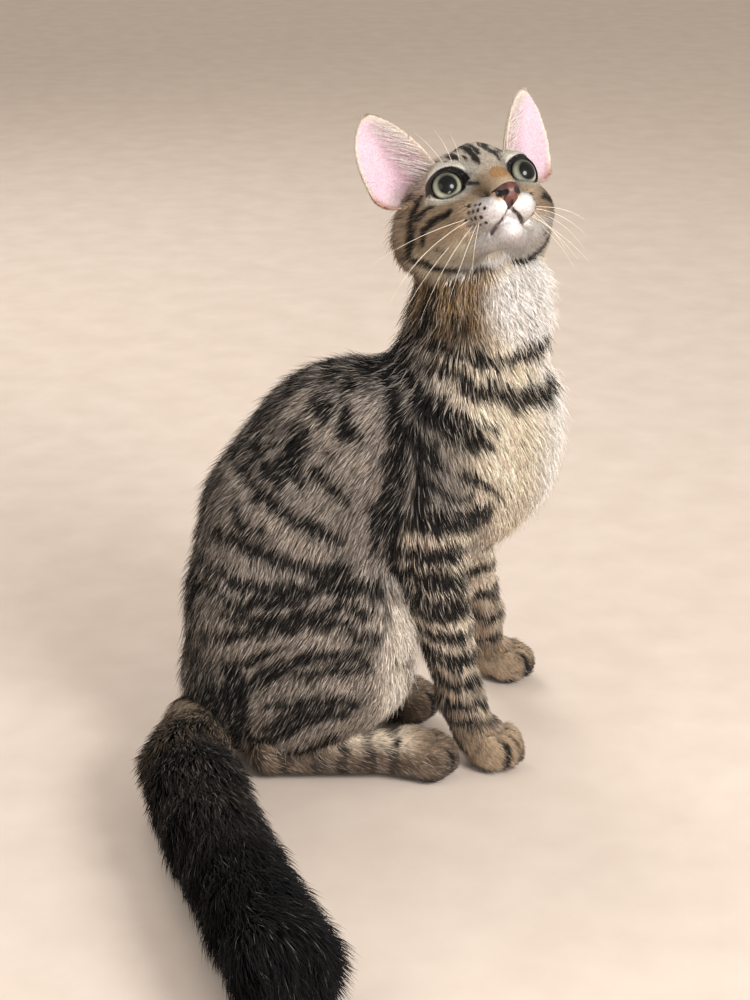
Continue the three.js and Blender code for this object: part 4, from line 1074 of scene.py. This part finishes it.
# ---------------------------------------------------------------- floor, light, camera
def floor():
    me = bpy.data.meshes.new("floor"); R = 4.0
    me.from_pydata([(-R, -R, -0.0004), (R, -R, -0.0004), (R, R, -0.0004), (-R, R, -0.0004)], [], [(0, 1, 2, 3)])
    o = bpy.data.objects.new("floor", me); bpy.context.scene.collection.objects.link(o)
    m, nt, b = material("pale_floor")
    n = node(nt, "ShaderNodeTexNoise", Scale=220.0, Detail=4.0)
    r = node(nt, "ShaderNodeValToRGB"); e = r.color_ramp.elements
    e[0].position, e[0].color = 0.35, (*rgb(229, 214, 202), 1); e[1].position, e[1].color = 0.7, (*rgb(236, 222, 210), 1)
    nt.links.new(n.outputs["Fac"], r.inputs["Fac"]); nt.links.new(r.outputs["Color"], b.inputs["Base Color"])
    b.inputs["Roughness"].default_value = 0.9
    b.inputs["Specular IOR Level"].default_value = 0.1
    o.data.materials.append(m)
    o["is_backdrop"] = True


def lamp(name, at, aim, size, watts, colour):
    d = bpy.data.lights.new(name, "AREA"); d.shape = "DISK"; d.size = size; d.energy = watts; d.color = colour
    o = bpy.data.objects.new(name, d); bpy.context.scene.collection.objects.link(o)
    o.location = at
    o.rotation_euler = (Vector(aim) - Vector(at)).to_track_quat("-Z", "Y").to_euler()


floor()
lamp("key", (0.95, -0.95, 0.95), (0.02, 0, 0.2), 0.7, 21, (1.0, 0.98, 0.95))
lamp("fill", (-1.3, -1.0, 0.9), (0, 0, 0.18), 1.4, 5.6, (0.95, 0.97, 1.0))
lamp("low", (0.40, -0.72, 0.07), (0.06, -0.02, 0.32), 0.35, 3.4, (1.0, 0.97, 0.96))
lamp("back", (-0.6, 1.2, 1.3), (0, 0, 0.2), 1.0, 10, (1.0, 0.97, 0.94))
world = bpy.data.worlds.new("studio"); bpy.context.scene.world = world; world.use_nodes = True
world.node_tree.nodes["Background"].inputs["Color"].default_value = (*rgb(238, 228, 216), 1)
world.node_tree.nodes["Background"].inputs["Strength"].default_value = 0.60

cam = bpy.data.cameras.new("camera"); cam.lens = 73.44; cam.sensor_width = 36; cam.sensor_fit = "AUTO"; cam.clip_start = 0.05
eye = bpy.data.objects.new("camera", cam); bpy.context.scene.collection.objects.link(eye)
eye.location = placed(np.array([[0.0, -1050.0, 560.0]]))[0]
eye.rotation_euler = (np.radians(90 - 21.5), 0, 0)
bpy.context.scene.camera = eye
bpy.context.scene.view_settings.view_transform = "Standard"


# ---------------------------------------------------------------- nose leather: its own small skin, a little proud of the nose
def nose_shape(P):
    PH = to_head(P)
    H = PH
    d = flesh(P, True, PH=PH) - 0.22
    for a, b, r, k in GROOVES[:2] + NOSTRILS + [g for g in GROOVES if g[2] == 0.7]:
        d = -smin(-d, capsule(H, a, b, r), k)
    # outline of the leather: wide at the top, narrow where it meets the lip
    ay = np.abs(H[:, 1])
    top = H[:, 2] + 8.6 - 0.10 * ay ** 1.6 * 0.35
    wide = 6.5 - 0.62 * np.clip(-12.5 - H[:, 2], 0, 20) ** 1.12
    edge = np.maximum(np.maximum(ay - wide, H[:, 2] + 7.6 + 0.045 * ay ** 2), -20.2 - H[:, 2])
    edge = np.maximum(edge, 14.5 + 0.0 * ay - H[:, 0])
    inner = -(d + 1.3)
    return np.maximum(np.maximum(d, edge * 0.9), inner)


nose_low = from_head(np.array([[x, y, z] for x in (14, 28) for y in (-9, 9) for z in (-22, -6)], float))
NP_, NQ, NT, NW = surface(nose_shape, nose_low.min(0) - 1, nose_low.max(0) + 1, 0.34, 1, lambda P: np.full(len(P), 0.34))
NP_ = onto(nose_shape, NP_, 2, 0.15)
NH_ = to_head(NP_)
g = np.tile(C["leather"], (len(NP_), 1))
hole = np.min([capsule(NH_, a, b, 0.0) for a, b, r, k in NOSTRILS], axis=0)
edge_ = step(5.0, 6.6, np.abs(NH_[:, 1])) + step(-9.6, -8.2, NH_[:, 2]) + step(-16.5, -19.5, NH_[:, 2])
g = mix(g, np.tile(C["leather_dark"], (len(g), 1)), np.clip(edge_, 0, 1) * 0.85)
# a lighter patch on the middle of the leather: painted highlight
g = mix(g, np.tile(rgb(122, 72, 64), (len(g), 1)), 0.6 * step(2.6, 0.6, np.abs(NH_[:, 1])) * step(-17, -14, NH_[:, 2]))
# black in and round the nostril openings: painted shade inside them
g = mix(g, np.tile(C["black"], (len(g), 1)), 1 - step(1.2, 2.0, hole))
g *= (1 + 0.22 * noise(NH_, 1.6, 61))[:, None]
nose = make("nose_leather", NP_, NQ, NT, g)
m_, nt_, b_ = material("nose_leather")
col, f, tc = tone_times(nt_, 0.85, 1.12, 1500, 3.0)
nt_.links.new(col, b_.inputs["Base Color"])
vor = node(nt_, "ShaderNodeTexVoronoi", Scale=1900.0); nt_.links.new(tc.outputs["Object"], vor.inputs["Vector"])
bump = node(nt_, "ShaderNodeBump", Strength=0.4, Distance=0.0002); nt_.links.new(vor.outputs["Distance"], bump.inputs["Height"]); nt_.links.new(bump.outputs["Normal"], b_.inputs["Normal"])
b_.inputs["Roughness"].default_value = 0.42; b_.inputs["Specular IOR Level"].default_value = 0.5; b_.inputs["Coat Weight"].default_value = 0.25; b_.inputs["Coat Roughness"].default_value = 0.25
nose.data.materials.append(m_)
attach(nose, "root"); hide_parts("nose")
clock("nose")


# ---------------------------------------------------------------- the coat: tapered tufts of solid mesh that rise from the skin and lie along it
TRI = np.concatenate([SQ[:, [0, 1, 2]], SQ[:, [0, 2, 3]], ST])
TA = 0.5 * np.linalg.norm(np.cross(SV[TRI[:, 1]] - SV[TRI[:, 0]], SV[TRI[:, 2]] - SV[TRI[:, 0]]), axis=1)
tri_mean = lambda a: a[TRI].mean(1)
# zones of the coat
Z_FACE, Z_BODY, Z_LEG, Z_TAIL, Z_EAR, Z_NONE = range(6)
zone = np.full(len(SV), Z_BODY)
zone[SPART == 2] = Z_FACE
zone[(SPART == 2) & (SHEAD[:, 0] < -38)] = Z_BODY
zone[SPART == 7] = Z_TAIL
zone[((SPART == 3) | (SPART == 4)) & (SV[:, 2] < 70)] = Z_LEG
zone[(SPART == 8) | (SPART == 9)] = Z_LEG
zone[SEAR > 0] = Z_EAR
bare = np.zeros(len(SV), bool)      # no coat here: sockets, lid edges, nose, lips, nostrils, soles
for s in (-1, 1):
    Cc = eye_frame(s)[0]
    e, ex, ea, eb = eye_plan(SHEAD, s)
    bare |= (np.linalg.norm(SHEAD - Cc, axis=1) < EYE_R + 1.6) & (e < np.where(eb > -1, 2.1, 0.8)) | (np.linalg.norm(SHEAD - Cc, axis=1) < EYE_R + 0.5)
bare |= nose_shape(SV) < 0.3
for a, b, r, k in GROOVES:
    bare |= capsule(SHEAD, a, b, 0.0) < r * 0.9
bare |= SV[:, 2] < 2.2
zone[bare] = Z_NONE
tzone = zone[TRI].max(1)
tzone[(zone[TRI] == Z_NONE).any(1)] = Z_NONE

# density in tufts for each square millimetre, before scaling to the number wanted
HX, HY, HZ = SHEAD.T
front = step(-30, -8, HX)
dens = np.ones(len(SV))
dens[zone == Z_FACE] = (0.55 + 0.9 * front + 0.9 * step(3, 15, HX))[zone == Z_FACE]
dens[zone == Z_EAR] = np.where(SEAR == 2, 0.22, 0.9)[zone == Z_EAR]
paws_ = step(36, 20, SV[:, 2])
dens[zone == Z_LEG] = (0.7 + 0.7 * paws_)[zone == Z_LEG]


def roots(tri_ids, count, weight):
    """count places spread evenly over triangles"""
    w = TA[tri_ids] * tri_mean(dens)[tri_ids] * weight[tri_ids]
    cum = np.cumsum(w)
    u = (np.arange(count) + rng.random(count)) / count * cum[-1]
    t = tri_ids[np.minimum(np.searchsorted(cum, u), len(tri_ids) - 1)]
    r1, r2 = rng.random(count), rng.random(count)
    f = r1 + r2 > 1; r1[f], r2[f] = 1 - r1[f], 1 - r2[f]
    B = np.stack([1 - r1 - r2, r1, r2], 1)
    T = TRI[t]
    blend3 = lambda a: (a[T] * B[:, :, None]).sum(1) if a.ndim == 2 else (a[T] * B).sum(1)
    P = blend3(SV); N = units(blend3(SN)); D = in_skin(blend3(SDIR), N)
    pick = T[np.arange(count), B.argmax(1)]
    return P, N, D, blend3(SCOAT), SPART[pick], SEAR[pick], pick


def unwrap(P, part, PH, ear):
    """places on an unwrap of the body: round the spine and along it"""
    U = np.zeros((len(P), 2))
    T, S, Cn = along(P, SPINE)
    out = P - Cn
    X1 = np.cross(T, np.array([0.0, 1, 0])); X1 = units(X1); Y1 = np.cross(X1, T)
    ang = np.arctan2((out * Y1).sum(1), (out * X1).sum(1)) / (2 * np.pi) + 0.5
    U[:, 0] = ang; U[:, 1] = np.clip(S / 430.0, 0, 1)
    return U


def strip_unwrap(kind, P, part, PH, ear):
    U = unwrap(P, part, PH, ear)
    if kind == "tail":
        T, S, Cn = along(P, TAIL_PATH)
        out = P - Cn
        Y1 = units(np.cross(T, np.array([0, 0, 1.0])))
        U = np.stack([np.arctan2(out[:, 2], (out * Y1).sum(1)) / (2 * np.pi) + 0.5, S / S.max()], 1)
    elif kind == "head":
        Q = PH - np.array((-22, 0, -6))
        U = np.stack([np.arctan2(Q[:, 1], Q[:, 0]) / (2 * np.pi) + 0.5, 0.5 + np.arcsin(np.clip(Q[:, 2] / np.linalg.norm(Q, axis=1), -1, 1)) / np.pi], 1)
        U = U * 0.72
        for s in (-1, 1):
            u, v, w = ear_uvw(PH, s)
            for e in (1, 2):
                m = (ear == e) & (np.sign(PH[:, 1]) == s)
                at = np.array((0.745, 0.02 + 0.245 * ((s > 0) * 2 + (e - 1))))
                U[m] = at + np.stack([(v[m] + 22) / 44 * 0.24, (w[m] + 14) / (EAR_L + 16) * 0.23], 1)
    elif kind == "leg":
        U = np.zeros((len(P), 2))
        for n, (k, y0) in enumerate(((3, -35), (4, 60), (8, -46), (9, 22))):
            m = part == k
            if not m.any():
                continue
            if k < 5:
                cx = np.interp(P[m, 2], [0, 22, 48, 108], [66, 58, 50, 34]) if k == 3 else np.interp(P[m, 2], [0, 22, 48, 108], [78, 68, 64, 51])
                cy = y0 if k == 3 else np.interp(P[m, 2], [0, 22, 48, 110], [77, 75, 68, 46])
                a = np.arctan2(P[m, 1] - cy, P[m, 0] - cx) / (2 * np.pi) + 0.5; l = P[m, 2] / 72
            else:
                a = np.arctan2(P[m, 1] - y0, P[m, 2] - 13) / (2 * np.pi) + 0.5; l = (P[m, 0] + 75) / 125
            U[m] = np.stack([0.01 + 0.48 * a + 0.5 * (n % 2), 0.01 + 0.48 * np.clip(l, 0, 1) + 0.5 * (n // 2)], 1)
    return np.clip(U, 0, 1)


CELLS = 320


def own_cells(U):
    """each tuft's cell of the map: the one at its root's place, or a free one close by"""
    ij = np.clip((U * CELLS).astype(int), 0, CELLS - 1)
    taken = {}
    out = ij.copy()
    todo = np.arange(len(ij)); used = np.zeros(CELLS * CELLS, bool)
    for it in range(60):
        c = out[todo, 0] * CELLS + out[todo, 1]
        _, first = np.unique(c, return_index=True)
        ok = np.zeros(len(todo), bool); ok[first] = True
        ok &= ~used[c]
        used[c[ok]] = True
        todo = todo[~ok]
        if not len(todo):
            break
        reach = 1 + it // 4
        out[todo] = np.clip(ij[todo] + rng.integers(-reach, reach + 1, (len(todo), 2)), 0, CELLS - 1)
    return out / CELLS + 0.0001


def grow(name, P, N, D, high, long, wide, rings, part, ear, kind, shade=0.5, slot="coat", clump=None, clump_pull=0.5, flat=0.42, tones=None, swirl=10.0, sag=0.0):
    """one joined mesh of tufts. high is how far each tip stands off the skin, long its length, wide its width at the root"""
    n = len(P)
    PH = to_head(P)
    # each tuft strays a little from the lie of the coat, neighbours together
    a = np.radians(swirl) * (noise(P, 11, 71) * 1.3 + 0.55 * rng.standard_normal(n))
    B = np.cross(N, D)
    D = units(np.cos(a)[:, None] * D + np.sin(a)[:, None] * B)
    B = np.cross(N, D)
    flatlen = np.sqrt(np.maximum(long ** 2 - high ** 2, (0.3 * long) ** 2))
    tip = D * flatlen[:, None] + N * high[:, None]
    if clump:
        k = max(4, n // clump)
        heads = rng.choice(n, k, replace=False)
        tree = kdtree.KDTree(k)
        for i, h in enumerate(heads): tree.insert(P[h], i)
        tree.balance()
        own = np.array([heads[tree.find(p)[1]] for p in P])
        aim = (P[own] + tip[own]) - P
        # only those whose head grows much the same way
        same = ((N * N[own]).sum(1) > 0.8) & ((D * D[own]).sum(1) > 0.6)
        pull = clump_pull * same * np.clip(1 - np.linalg.norm(P - P[own], axis=1) / (0.9 * long), 0, 1)
        side = aim - D * (aim * D).sum(1)[:, None] - N * (aim * N).sum(1)[:, None]
        tip = tip + side * pull[:, None]
    if sag:
        tip[:, 2] -= sag * long
    ts = np.linspace(0, 1, rings + 1)
    hn = (N * tip).sum(1)
    along_ = tip - N * hn[:, None]
    th = wide * flat
    V = []
    prof = {1: (1.0,), 2: (1.0, 0.85), 3: (0.8, 1.0, 0.75)}[rings]
    for i in range(rings):
        t = ts[i]
        rise = 1 - (1 - t) ** 1.7
        c = P + along_ * t + N * (hn * rise - 0.35 * (i == 0))[:, None]
        w = (wide * prof[i] / 2)[:, None]
        V += [c - B * w, c + B * w, c + N * (th * prof[i])[:, None]]
    V.append(P + along_ + N * hn[:, None])
    m = len(V)
    V = np.stack(V, 1)                     # n, m, 3
    V[:, :, 2] = np.maximum(V[:, :, 2], 0.2 - SHIFT[2])      # hair lies on the floor, not through it
    base = (np.arange(n) * m)[:, None]
    quads, tris = [], []
    uvq, uvt = [], []
    cell = own_cells(strip_unwrap(kind, P, part, PH, ear))
    size = 0.0030
    for i in range(rings):
        for a_, b_ in ((1, 2), (2, 0), (0, 1)):
            side = {(1, 2): 0, (2, 0): 1, (0, 1): 2}[(a_, b_)]
            u0, u1 = side / 3, (side + 1) / 3
            v0, v1 = ts[i], ts[i + 1]
            if i < rings - 1:
                quads.append(base + np.array([[3 * i + a_, 3 * i + 3 + a_, 3 * i + 3 + b_, 3 * i + b_]])[:, [3, 2, 1, 0]])
                uvq.append(np.array([(u0, v0), (u0, v1), (u1, v1), (u1, v0)])[[3, 2, 1, 0]])
            else:
                tris.append(base + np.array([[3 * i + a_, m - 1, 3 * i + b_]])[:, [2, 1, 0]])
                uvt.append(np.array([(u0, v0), ((u0 + u1) / 2, v1), (u1, v0)])[[2, 1, 0]])
    # colour: darker at the root, which is painted shade deep in the coat (less on pale hair), then the marking's own
    # colour, and ticked ends
    if tones is None:
        seen = P + D * (0.5 * long)[:, None]        # a tuft takes its marking from where most of it lies
        G, K, Dk, tick = paint(seen, N, part, to_head(seen), ear)
        jitter = np.where(ear > 0, 0.04, 0.16) * rng.standard_normal(n)
        dark = np.clip(Dk * 1.06 + jitter * (0.25 + Dk * (1 - Dk) * 3), 0, 1)
        body = mix(G, K, dark) * (1 + np.where(ear > 0, 0.05, 0.15) * rng.standard_normal(n) + np.where(ear > 0, 0, 0.16) * noise(P, 3.6, 73) + (0.14 * rng.standard_normal(n) if kind == "head" and slot == "coat" else 0)).clip(0.4, 1.6)[:, None]
        pale_ = step(0.12, 0.65, body.mean(1))
        root = body * (shade + (0.86 - shade) * pale_)[:, None]
        lit = rng.random(n) < (0.42 * tick * (1 - 0.5 * pale_) + (0.02 if kind == "tail" else 0.05)) * (ear == 0) * (1 - (0.9 if kind == "head" else 0.55) * Dk)
        inked = (rng.random(n) < 0.20 * (tick > 0.2) * (1 - 0.6 * pale_)) & ~lit
        end = body * 1.12
        pale = mix(G * 1.1 + 0.04, np.tile(rgb(232, 222, 210), (n, 1)), np.full(n, 0.18 if kind == "tail" else 0.55))
        end[lit] = (0.25 * body + 0.75 * pale)[lit]
        end[inked] = (body * 0.35 + K * 0.3)[inked]
        mid = body.copy()
        mid[lit] = (0.6 * body + 0.4 * pale)[lit]
    else:
        root, mid, end = tones
    cols = []
    for i in range(rings):
        c = root if i == 0 and rings > 1 else mid
        if rings == 3 and i == 2: c = 0.5 * mid + 0.5 * end
        if rings == 1: c = 0.35 * root + 0.65 * mid
        cols += [c, c, c]
    cols.append(end)
    cols = np.clip(np.stack(cols, 1).reshape(-1, 3), 0.002, 0.95)
    Q = np.concatenate(quads) if quads else None
    T = np.concatenate(tris)
    o = make(name, V.reshape(-1, 3), Q, T, cols)
    me = o.data
    layer = me.uv_layers.new(name="OFBake", do_init=False)
    uv = []
    if quads:
        for f in uvq: uv.append((cell[:, None, :] + f[None] * size).reshape(-1, 2))
    for f in uvt: uv.append((cell[:, None, :] + f[None] * size).reshape(-1, 2))
    layer.data.foreach_set("uv", np.concatenate(uv).astype(np.float32).ravel())
    o.data.materials.append(COAT)
    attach(o, "root")
    clock(f"{name}: {n} tufts, {(len(Q) * 2 if Q is not None else 0) + len(T)} triangles")
    return o


def of_zone(*z):
    return np.flatnonzero(np.isin(tzone, z))


one_ = np.ones(len(TRI))
MANY = 1.0

# body: three layers, the undercoat, the coat, and the longer guard hairs
tz = of_zone(Z_BODY)
for name, count, rise, ratio, wide, clump, rings in (("coat_under", 20000, 0.60, 2.1, 1.25, 9, 2), ("coat_over", 60000, 0.62, 2.1, 0.56, 10, 1),
                                                     ("coat_top", 21500, 0.88, 2.1, 0.58, 7, 2), ("coat_guard", 21500, 1.02, 2.1, 0.42, 6, 2)):
    P, N, D, H, part, ear, pick = roots(tz, int(count * MANY), one_)
    n = len(P)
    H = np.clip(H, 2.0, 10)
    high = H * rise * (0.74 + 0.32 * rng.random(n)) * (1 + 0.12 * step(0.4, 1, noise(P, 20, 77)))
    long = np.clip(H * ratio * (0.8 + 0.45 * rng.random(n)), 5, 19)
    wd = wide * (0.7 + 0.6 * rng.random(n)) * np.clip(H / 6, 0.55, 1.1)
    if name in ("coat_top", "coat_guard"):      # some hairs stand out from the back, the nape and the chest
        proud = np.clip(step(0.2, 0.9, -N[:, 0]) * step(205, 235, P[:, 2]) + 0.45 * step(0.3, 0.9, N @ unit((-0.7, 0, 0.6))) + 0.6 * step(0.4, 0.9, N[:, 0]) * step(120, 150, P[:, 2]), 0, 1)
        up = (rng.random(n) < 0.10 + 0.35 * proud) * (0.25 + 0.45 * rng.random(n))
        high = high * (1 + up); long = long * (1 + 0.5 * up)
    throat = step(236, 262, P[:, 2]) * step(20, 60, P[:, 0])
    long = long * (1 - 0.26 * throat); wd = wd * (1 - 0.2 * throat)
    stray = rng.standard_normal(n) * 0.30 * throat
    D = units(D + np.cross(N, D) * stray[:, None])
    grow(name, P, N, D, high, long, wd, rings, part, ear, "body", clump=clump, clump_pull=0.62, shade=np.where(throat > 0.5, 0.62, 0.5))

# face and back of the head: short tufts, smallest at the nose
P, N, D, H, part, ear, pick = roots(of_zone(Z_FACE), int(60000 * MANY), one_)
n = len(P)
close = step(-20, 12, to_head(P)[:, 0])
H = np.clip(H, 0.5, 5)
high = H * (0.45 + 0.35 * rng.random(n)) * (1 - 0.25 * close)
h_ = to_head(P)
eye_near = np.min([np.linalg.norm(h_ - eye_frame(s)[0], axis=1) for s in (-1, 1)], axis=0)
short = np.clip(0.34 + 0.66 * step(12.0, 18.5, eye_near), 0, 1) * np.clip(0.6 + 0.4 * step(19, 10, h_[:, 0]), 0, 1)
long = np.clip(H * (2.0 - 0.2 * close), 1.5, 6.5) * (0.8 + 0.4 * rng.random(n)) * short
high = high * np.clip(short, 0.5, 1)
wd = (0.52 - 0.20 * close) * (0.75 + 0.5 * rng.random(n))
grow("coat_head", P, N, D, high, long, wd, 1, part, ear, "head", clump=8, clump_pull=0.3, swirl=7, shade=0.8)

# lower legs and paws
P, N, D, H, part, ear, pick = roots(of_zone(Z_LEG), int(32000 * MANY), one_)
n = len(P)
H = np.clip(H, 0.8, 4)
high = H * (0.5 + 0.4 * rng.random(n))
long = np.clip(H * 2.3, 2.4, 8) * (0.8 + 0.4 * rng.random(n))
wd = np.clip(0.22 * H + 0.2, 0.38, 0.8) * (0.75 + 0.5 * rng.random(n))
grow("coat_legs", P, N, D, high, long, wd, 1, part, ear, "leg", clump=7, clump_pull=0.35, swirl=7, shade=0.7)

# ears: fine short hair outside, thin fuzz in the cup
P, N, D, H, part, ear, pick = roots(of_zone(Z_EAR), int(15000 * MANY), one_)
n = len(P)
high = np.where(ear == 1, 0.6, 0.2) * (0.5 + 0.5 * rng.random(n))
long = np.where(ear == 1, 3.2, 2.6) * (0.7 + 0.6 * rng.random(n))
wd = np.where(ear == 1, 0.40, 0.13) * (0.8 + 0.4 * rng.random(n))
grow("coat_ears", P, N, D, high, long, wd, 1, part, ear, "head", slot="ear_skin", clump=None, swirl=9)

# tail: long, loose hair
for name, count, rise, wide, rings in (("coat_tail_under", 12500, 0.62, 1.5, 2), ("coat_tail", 21500, 0.82, 0.75, 2), ("coat_tail_guard", 7000, 1.0, 0.6, 3)):
    P, N, D, H, part, ear, pick = roots(of_zone(Z_TAIL), int(count * MANY), one_)
    n = len(P)
    H = np.clip(H, 4, 14.5)
    high = H * rise * (0.72 + 0.3 * rng.random(n))
    long = H * 2.15 * (0.8 + 0.35 * rng.random(n))
    wd = wide * (0.7 + 0.6 * rng.random(n))
    grow(name, P, N, D, high, long, wd, rings, part, ear, "tail", clump=9, clump_pull=0.6, swirl=13)


# ---------------------------------------------------------------- long single hairs: whiskers, brows, and the hair inside the ears
def strands(name, starts, ways, lengths, thick, bend, colour, sides=5, parts_=14):
    """tapered curved hairs. bend is added to the direction by the end of each"""
    P, Q, T, Cc = [], [], [], []
    for p, w, L, r, b, c in zip(starts, ways, lengths, thick, bend, colour):
        p = np.array(p, float); w = unit(w); at = len(np.concatenate(P)) if P else 0
        pts = [p]; d = w.copy(); dl = L / parts_
        for i in range(parts_):
            d = unit(w + np.array(b) * ((i + 0.5) / parts_) ** 1.3)
            pts.append(pts[-1] + d * dl)
        pts = np.array(pts)
        tan = np.gradient(pts, axis=0); tan = units(tan)
        ref = unit(np.cross(tan[0], (0.3, 0.5, 0.8)))
        for i, (c0, t_) in enumerate(zip(pts, tan)):
            a = unit(ref - (ref @ t_) * t_); b2 = np.cross(t_, a)
            rr = r * (1 - (i / parts_) ** 1.4 * 0.86)
            if i == parts_:
                P.append(c0[None]); continue
            k = np.arange(sides) / sides * 2 * np.pi
            P.append(c0 + rr * (np.cos(k)[:, None] * a + np.sin(k)[:, None] * b2))
        for i in range(parts_ - 1):
            for j in range(sides):
                k = (j + 1) % sides
                Q.append((at + i * sides + j, at + i * sides + k, at + (i + 1) * sides + k, at + (i + 1) * sides + j))
        last = at + (parts_ - 1) * sides
        for j in range(sides):
            T.append((last + j, last + (j + 1) % sides, last + sides))
        Cc.append(np.tile(c, (last + sides + 1 - at, 1)))
    o = make(name, np.concatenate(P), np.array(Q), np.array(T), np.concatenate(Cc))
    layer = o.data.uv_layers.new(name="OFBake", do_init=False)
    nl = len(o.data.loops)
    per = nl // len(starts)
    uv = np.zeros((nl, 2)); cols_ = int(np.ceil(np.sqrt(len(starts))))
    quad_uv = np.array([(0, 0), (1, 0), (1, 1), (0, 1)], float); tri_uv = np.array([(0, 0), (1, 0), (.5, 1)], float)
    at = 0
    for s_ in range(len(starts)):
        for i in range(parts_ - 1):
            for j in range(sides):
                uv[at:at + 4] = ((s_ % cols_ + (j + quad_uv[:, 0]) / sides * 0.9) / cols_)[:, None] * [1, 0] + ((s_ // cols_ + (i + quad_uv[:, 1]) / parts_ * 0.9) / cols_)[:, None] * [0, 1]
                at += 4
    for s_ in range(len(starts)):
        for j in range(sides):
            uv[at:at + 3] = ((s_ % cols_ + (j + tri_uv[:, 0]) / sides * 0.9) / cols_)[:, None] * [1, 0] + ((s_ // cols_ + (parts_ - 1 + tri_uv[:, 1]) / parts_ * 0.9) / cols_)[:, None] * [0, 1]
            at += 3
    layer.data.foreach_set("uv", uv.astype(np.float32).ravel())
    o.data.materials.append(COAT)
    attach(o, "root")
    return o


def head_way(v): return HEAD_TURN @ np.array(v, float)


cream, white = rgb(250, 240, 222), rgb(255, 252, 246)
S_, W_, L_, R_, B_, K_ = [], [], [], [], [], []
down = np.array((0, 0, -1.0))
WHISKERS = [  # root in the head's frame, way it sets out, length, droop
    ((3.5, 19.0, -19.0), (-0.15, 1.0, -0.10), 54, 0.8), ((1.6, 19.6, -21.5), (-0.30, 0.95, -0.30), 62, 0.9), ((6.5, 18.0, -20.5), (0.05, 1.0, -0.30), 46, 0.9),
    ((0.5, 18.4, -24.5), (-0.35, 0.75, -0.50), 64, 0.9), ((4.5, 17.2, -24.0), (0.00, 0.80, -0.62), 60, 0.7), ((8.5, 16.0, -23.6), (0.15, 0.62, -0.75), 48, 0.6),
    ((11.5, 14.8, -22.5), (0.25, 0.50, -0.80), 38, 0.5),
]
for s in (-1, 1):
    for (q, w, L, droop) in WHISKERS:
        p = on_face(np.array([q]) * np.array([1, s, 1]))[0]
        S_.append(from_head(p)); W_.append(head_way(np.array(w) * np.array([1, s, 1]))); L_.append(L * (0.74 if s > 0 else 1.0)); R_.append(0.125 + 0.03 * rng.random()); B_.append(down * droop * rng.uniform(0.8, 1.35) + 0.16 * rng.standard_normal(3)); K_.append(cream)
    for q, w, L in (((-3, 16, 11), (0.35, 0.25, 0.9), 26), ((-6, 19, 10), (0.2, 0.45, 0.85), 30), ((-1.5, 12.5, 11), (0.5, 0.1, 0.8), 20)):
        p = on_face(np.array([q]) * np.array([1, s, 1]))[0]
        S_.append(from_head(p)); W_.append(head_way(np.array(w) * np.array([1, s, 1]))); L_.append(L * 0.8); R_.append(0.11); B_.append(head_way((-0.5, 0.3 * s, 0.1))); K_.append(cream)
strands("whiskers", S_, W_, L_, R_, B_, K_)

S_, W_, L_, R_, B_, K_ = [], [], [], [], [], []
for s in (-1, 1):
    for i in range(170):
        w0 = rng.uniform(-6, 33)
        vi, vo = ear_edges(np.array([w0])); vi, vo = vi[0], vo[0]
        v0 = vi + rng.uniform(0.5, 0.34 * (vo - vi))
        h = np.clip((w0 + 10) / (EAR_L + 10), 0, 1); b_half = max((vo - vi) / 2, 1); x = (v0 - (vo + vi) / 2) / b_half
        deep = 12.5 * (1 - h) ** 0.7 * np.clip(b_half / 14, 0, 1)
        u0 = -deep * (1 - x * x) + 1.5 * (1 - h) - 3.0 * h * h + 0.9
        q = (EAR_MID + u0 * EAR_N + v0 * EAR_V + w0 * EAR_W)
        way = EAR_V * rng.uniform(0.55, 0.8) + EAR_W * rng.uniform(0.45, 0.8) + EAR_N * rng.uniform(0.10, 0.34)
        S_.append(from_head(q * np.array([1, s, 1]))); W_.append(head_way(way * np.array([1, s, 1])))
        L_.append(rng.uniform(9, 20) * (1 - 0.45 * h)); R_.append(rng.uniform(0.09, 0.16)); B_.append(head_way((-EAR_N * 0.30 + EAR_W * rng.uniform(-0.1, 0.5)) * np.array([1, s, 1])) + 0.06 * rng.standard_normal(3)); K_.append(white * rng.uniform(0.72, 1.0))
strands("ear_hair", S_, W_, L_, R_, B_, K_, sides=3, parts_=6)
# wisps: single pale hairs over the front of the thigh and off the chest, dark ones off the nape
xs, zs = SV[:, 0], SV[:, 2]
crease = step(0.35, 0.9, SN[:, 0]) * ((SPART == 5) | (SPART == 0)) * step(125, 105, zs) * step(28, 40, zs) * (xs > -5)
breast = 0.6 * step(0.5, 0.9, SN[:, 0]) * step(130, 150, zs) * (xs > 70) * (SPART < 2)
ruff = 0.7 * step(0.3, 0.8, -SN[:, 0]) * step(212, 232, zs) * (SPART < 2)
for name, w_, count, k_ in (("wisps_pale", crease + breast, 420, rgb(246, 238, 228)), ("wisps_dark", ruff, 160, rgb(40, 34, 31))):
    P, N, D, H, part, ear, pick = roots(tz, int(count * MANY), tri_mean(w_))
    n = len(P)
    way = units(D + N * rng.uniform(0.35, 0.75, n)[:, None] + 0.12 * rng.standard_normal((n, 3)))
    strands(name, list(P), list(way), list(rng.uniform(9, 16, n)), list(rng.uniform(0.10, 0.18, n)), list(0.5 * D - 0.25 * N), [k_ * v_ for v_ in rng.uniform(0.75, 1.0, n)], sides=3, parts_=5)
clock("long hairs")


# ---------------------------------------------------------------- sizes, and the end
bpy.context.view_layer.update()
def plain(v):
    return [[float(x) for x in c] for c in v] if hasattr(v[0], "__len__") else [float(x) for x in v]
{"cad": plain(CAD_BOX), "visual": plain(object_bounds())}
clock("done")
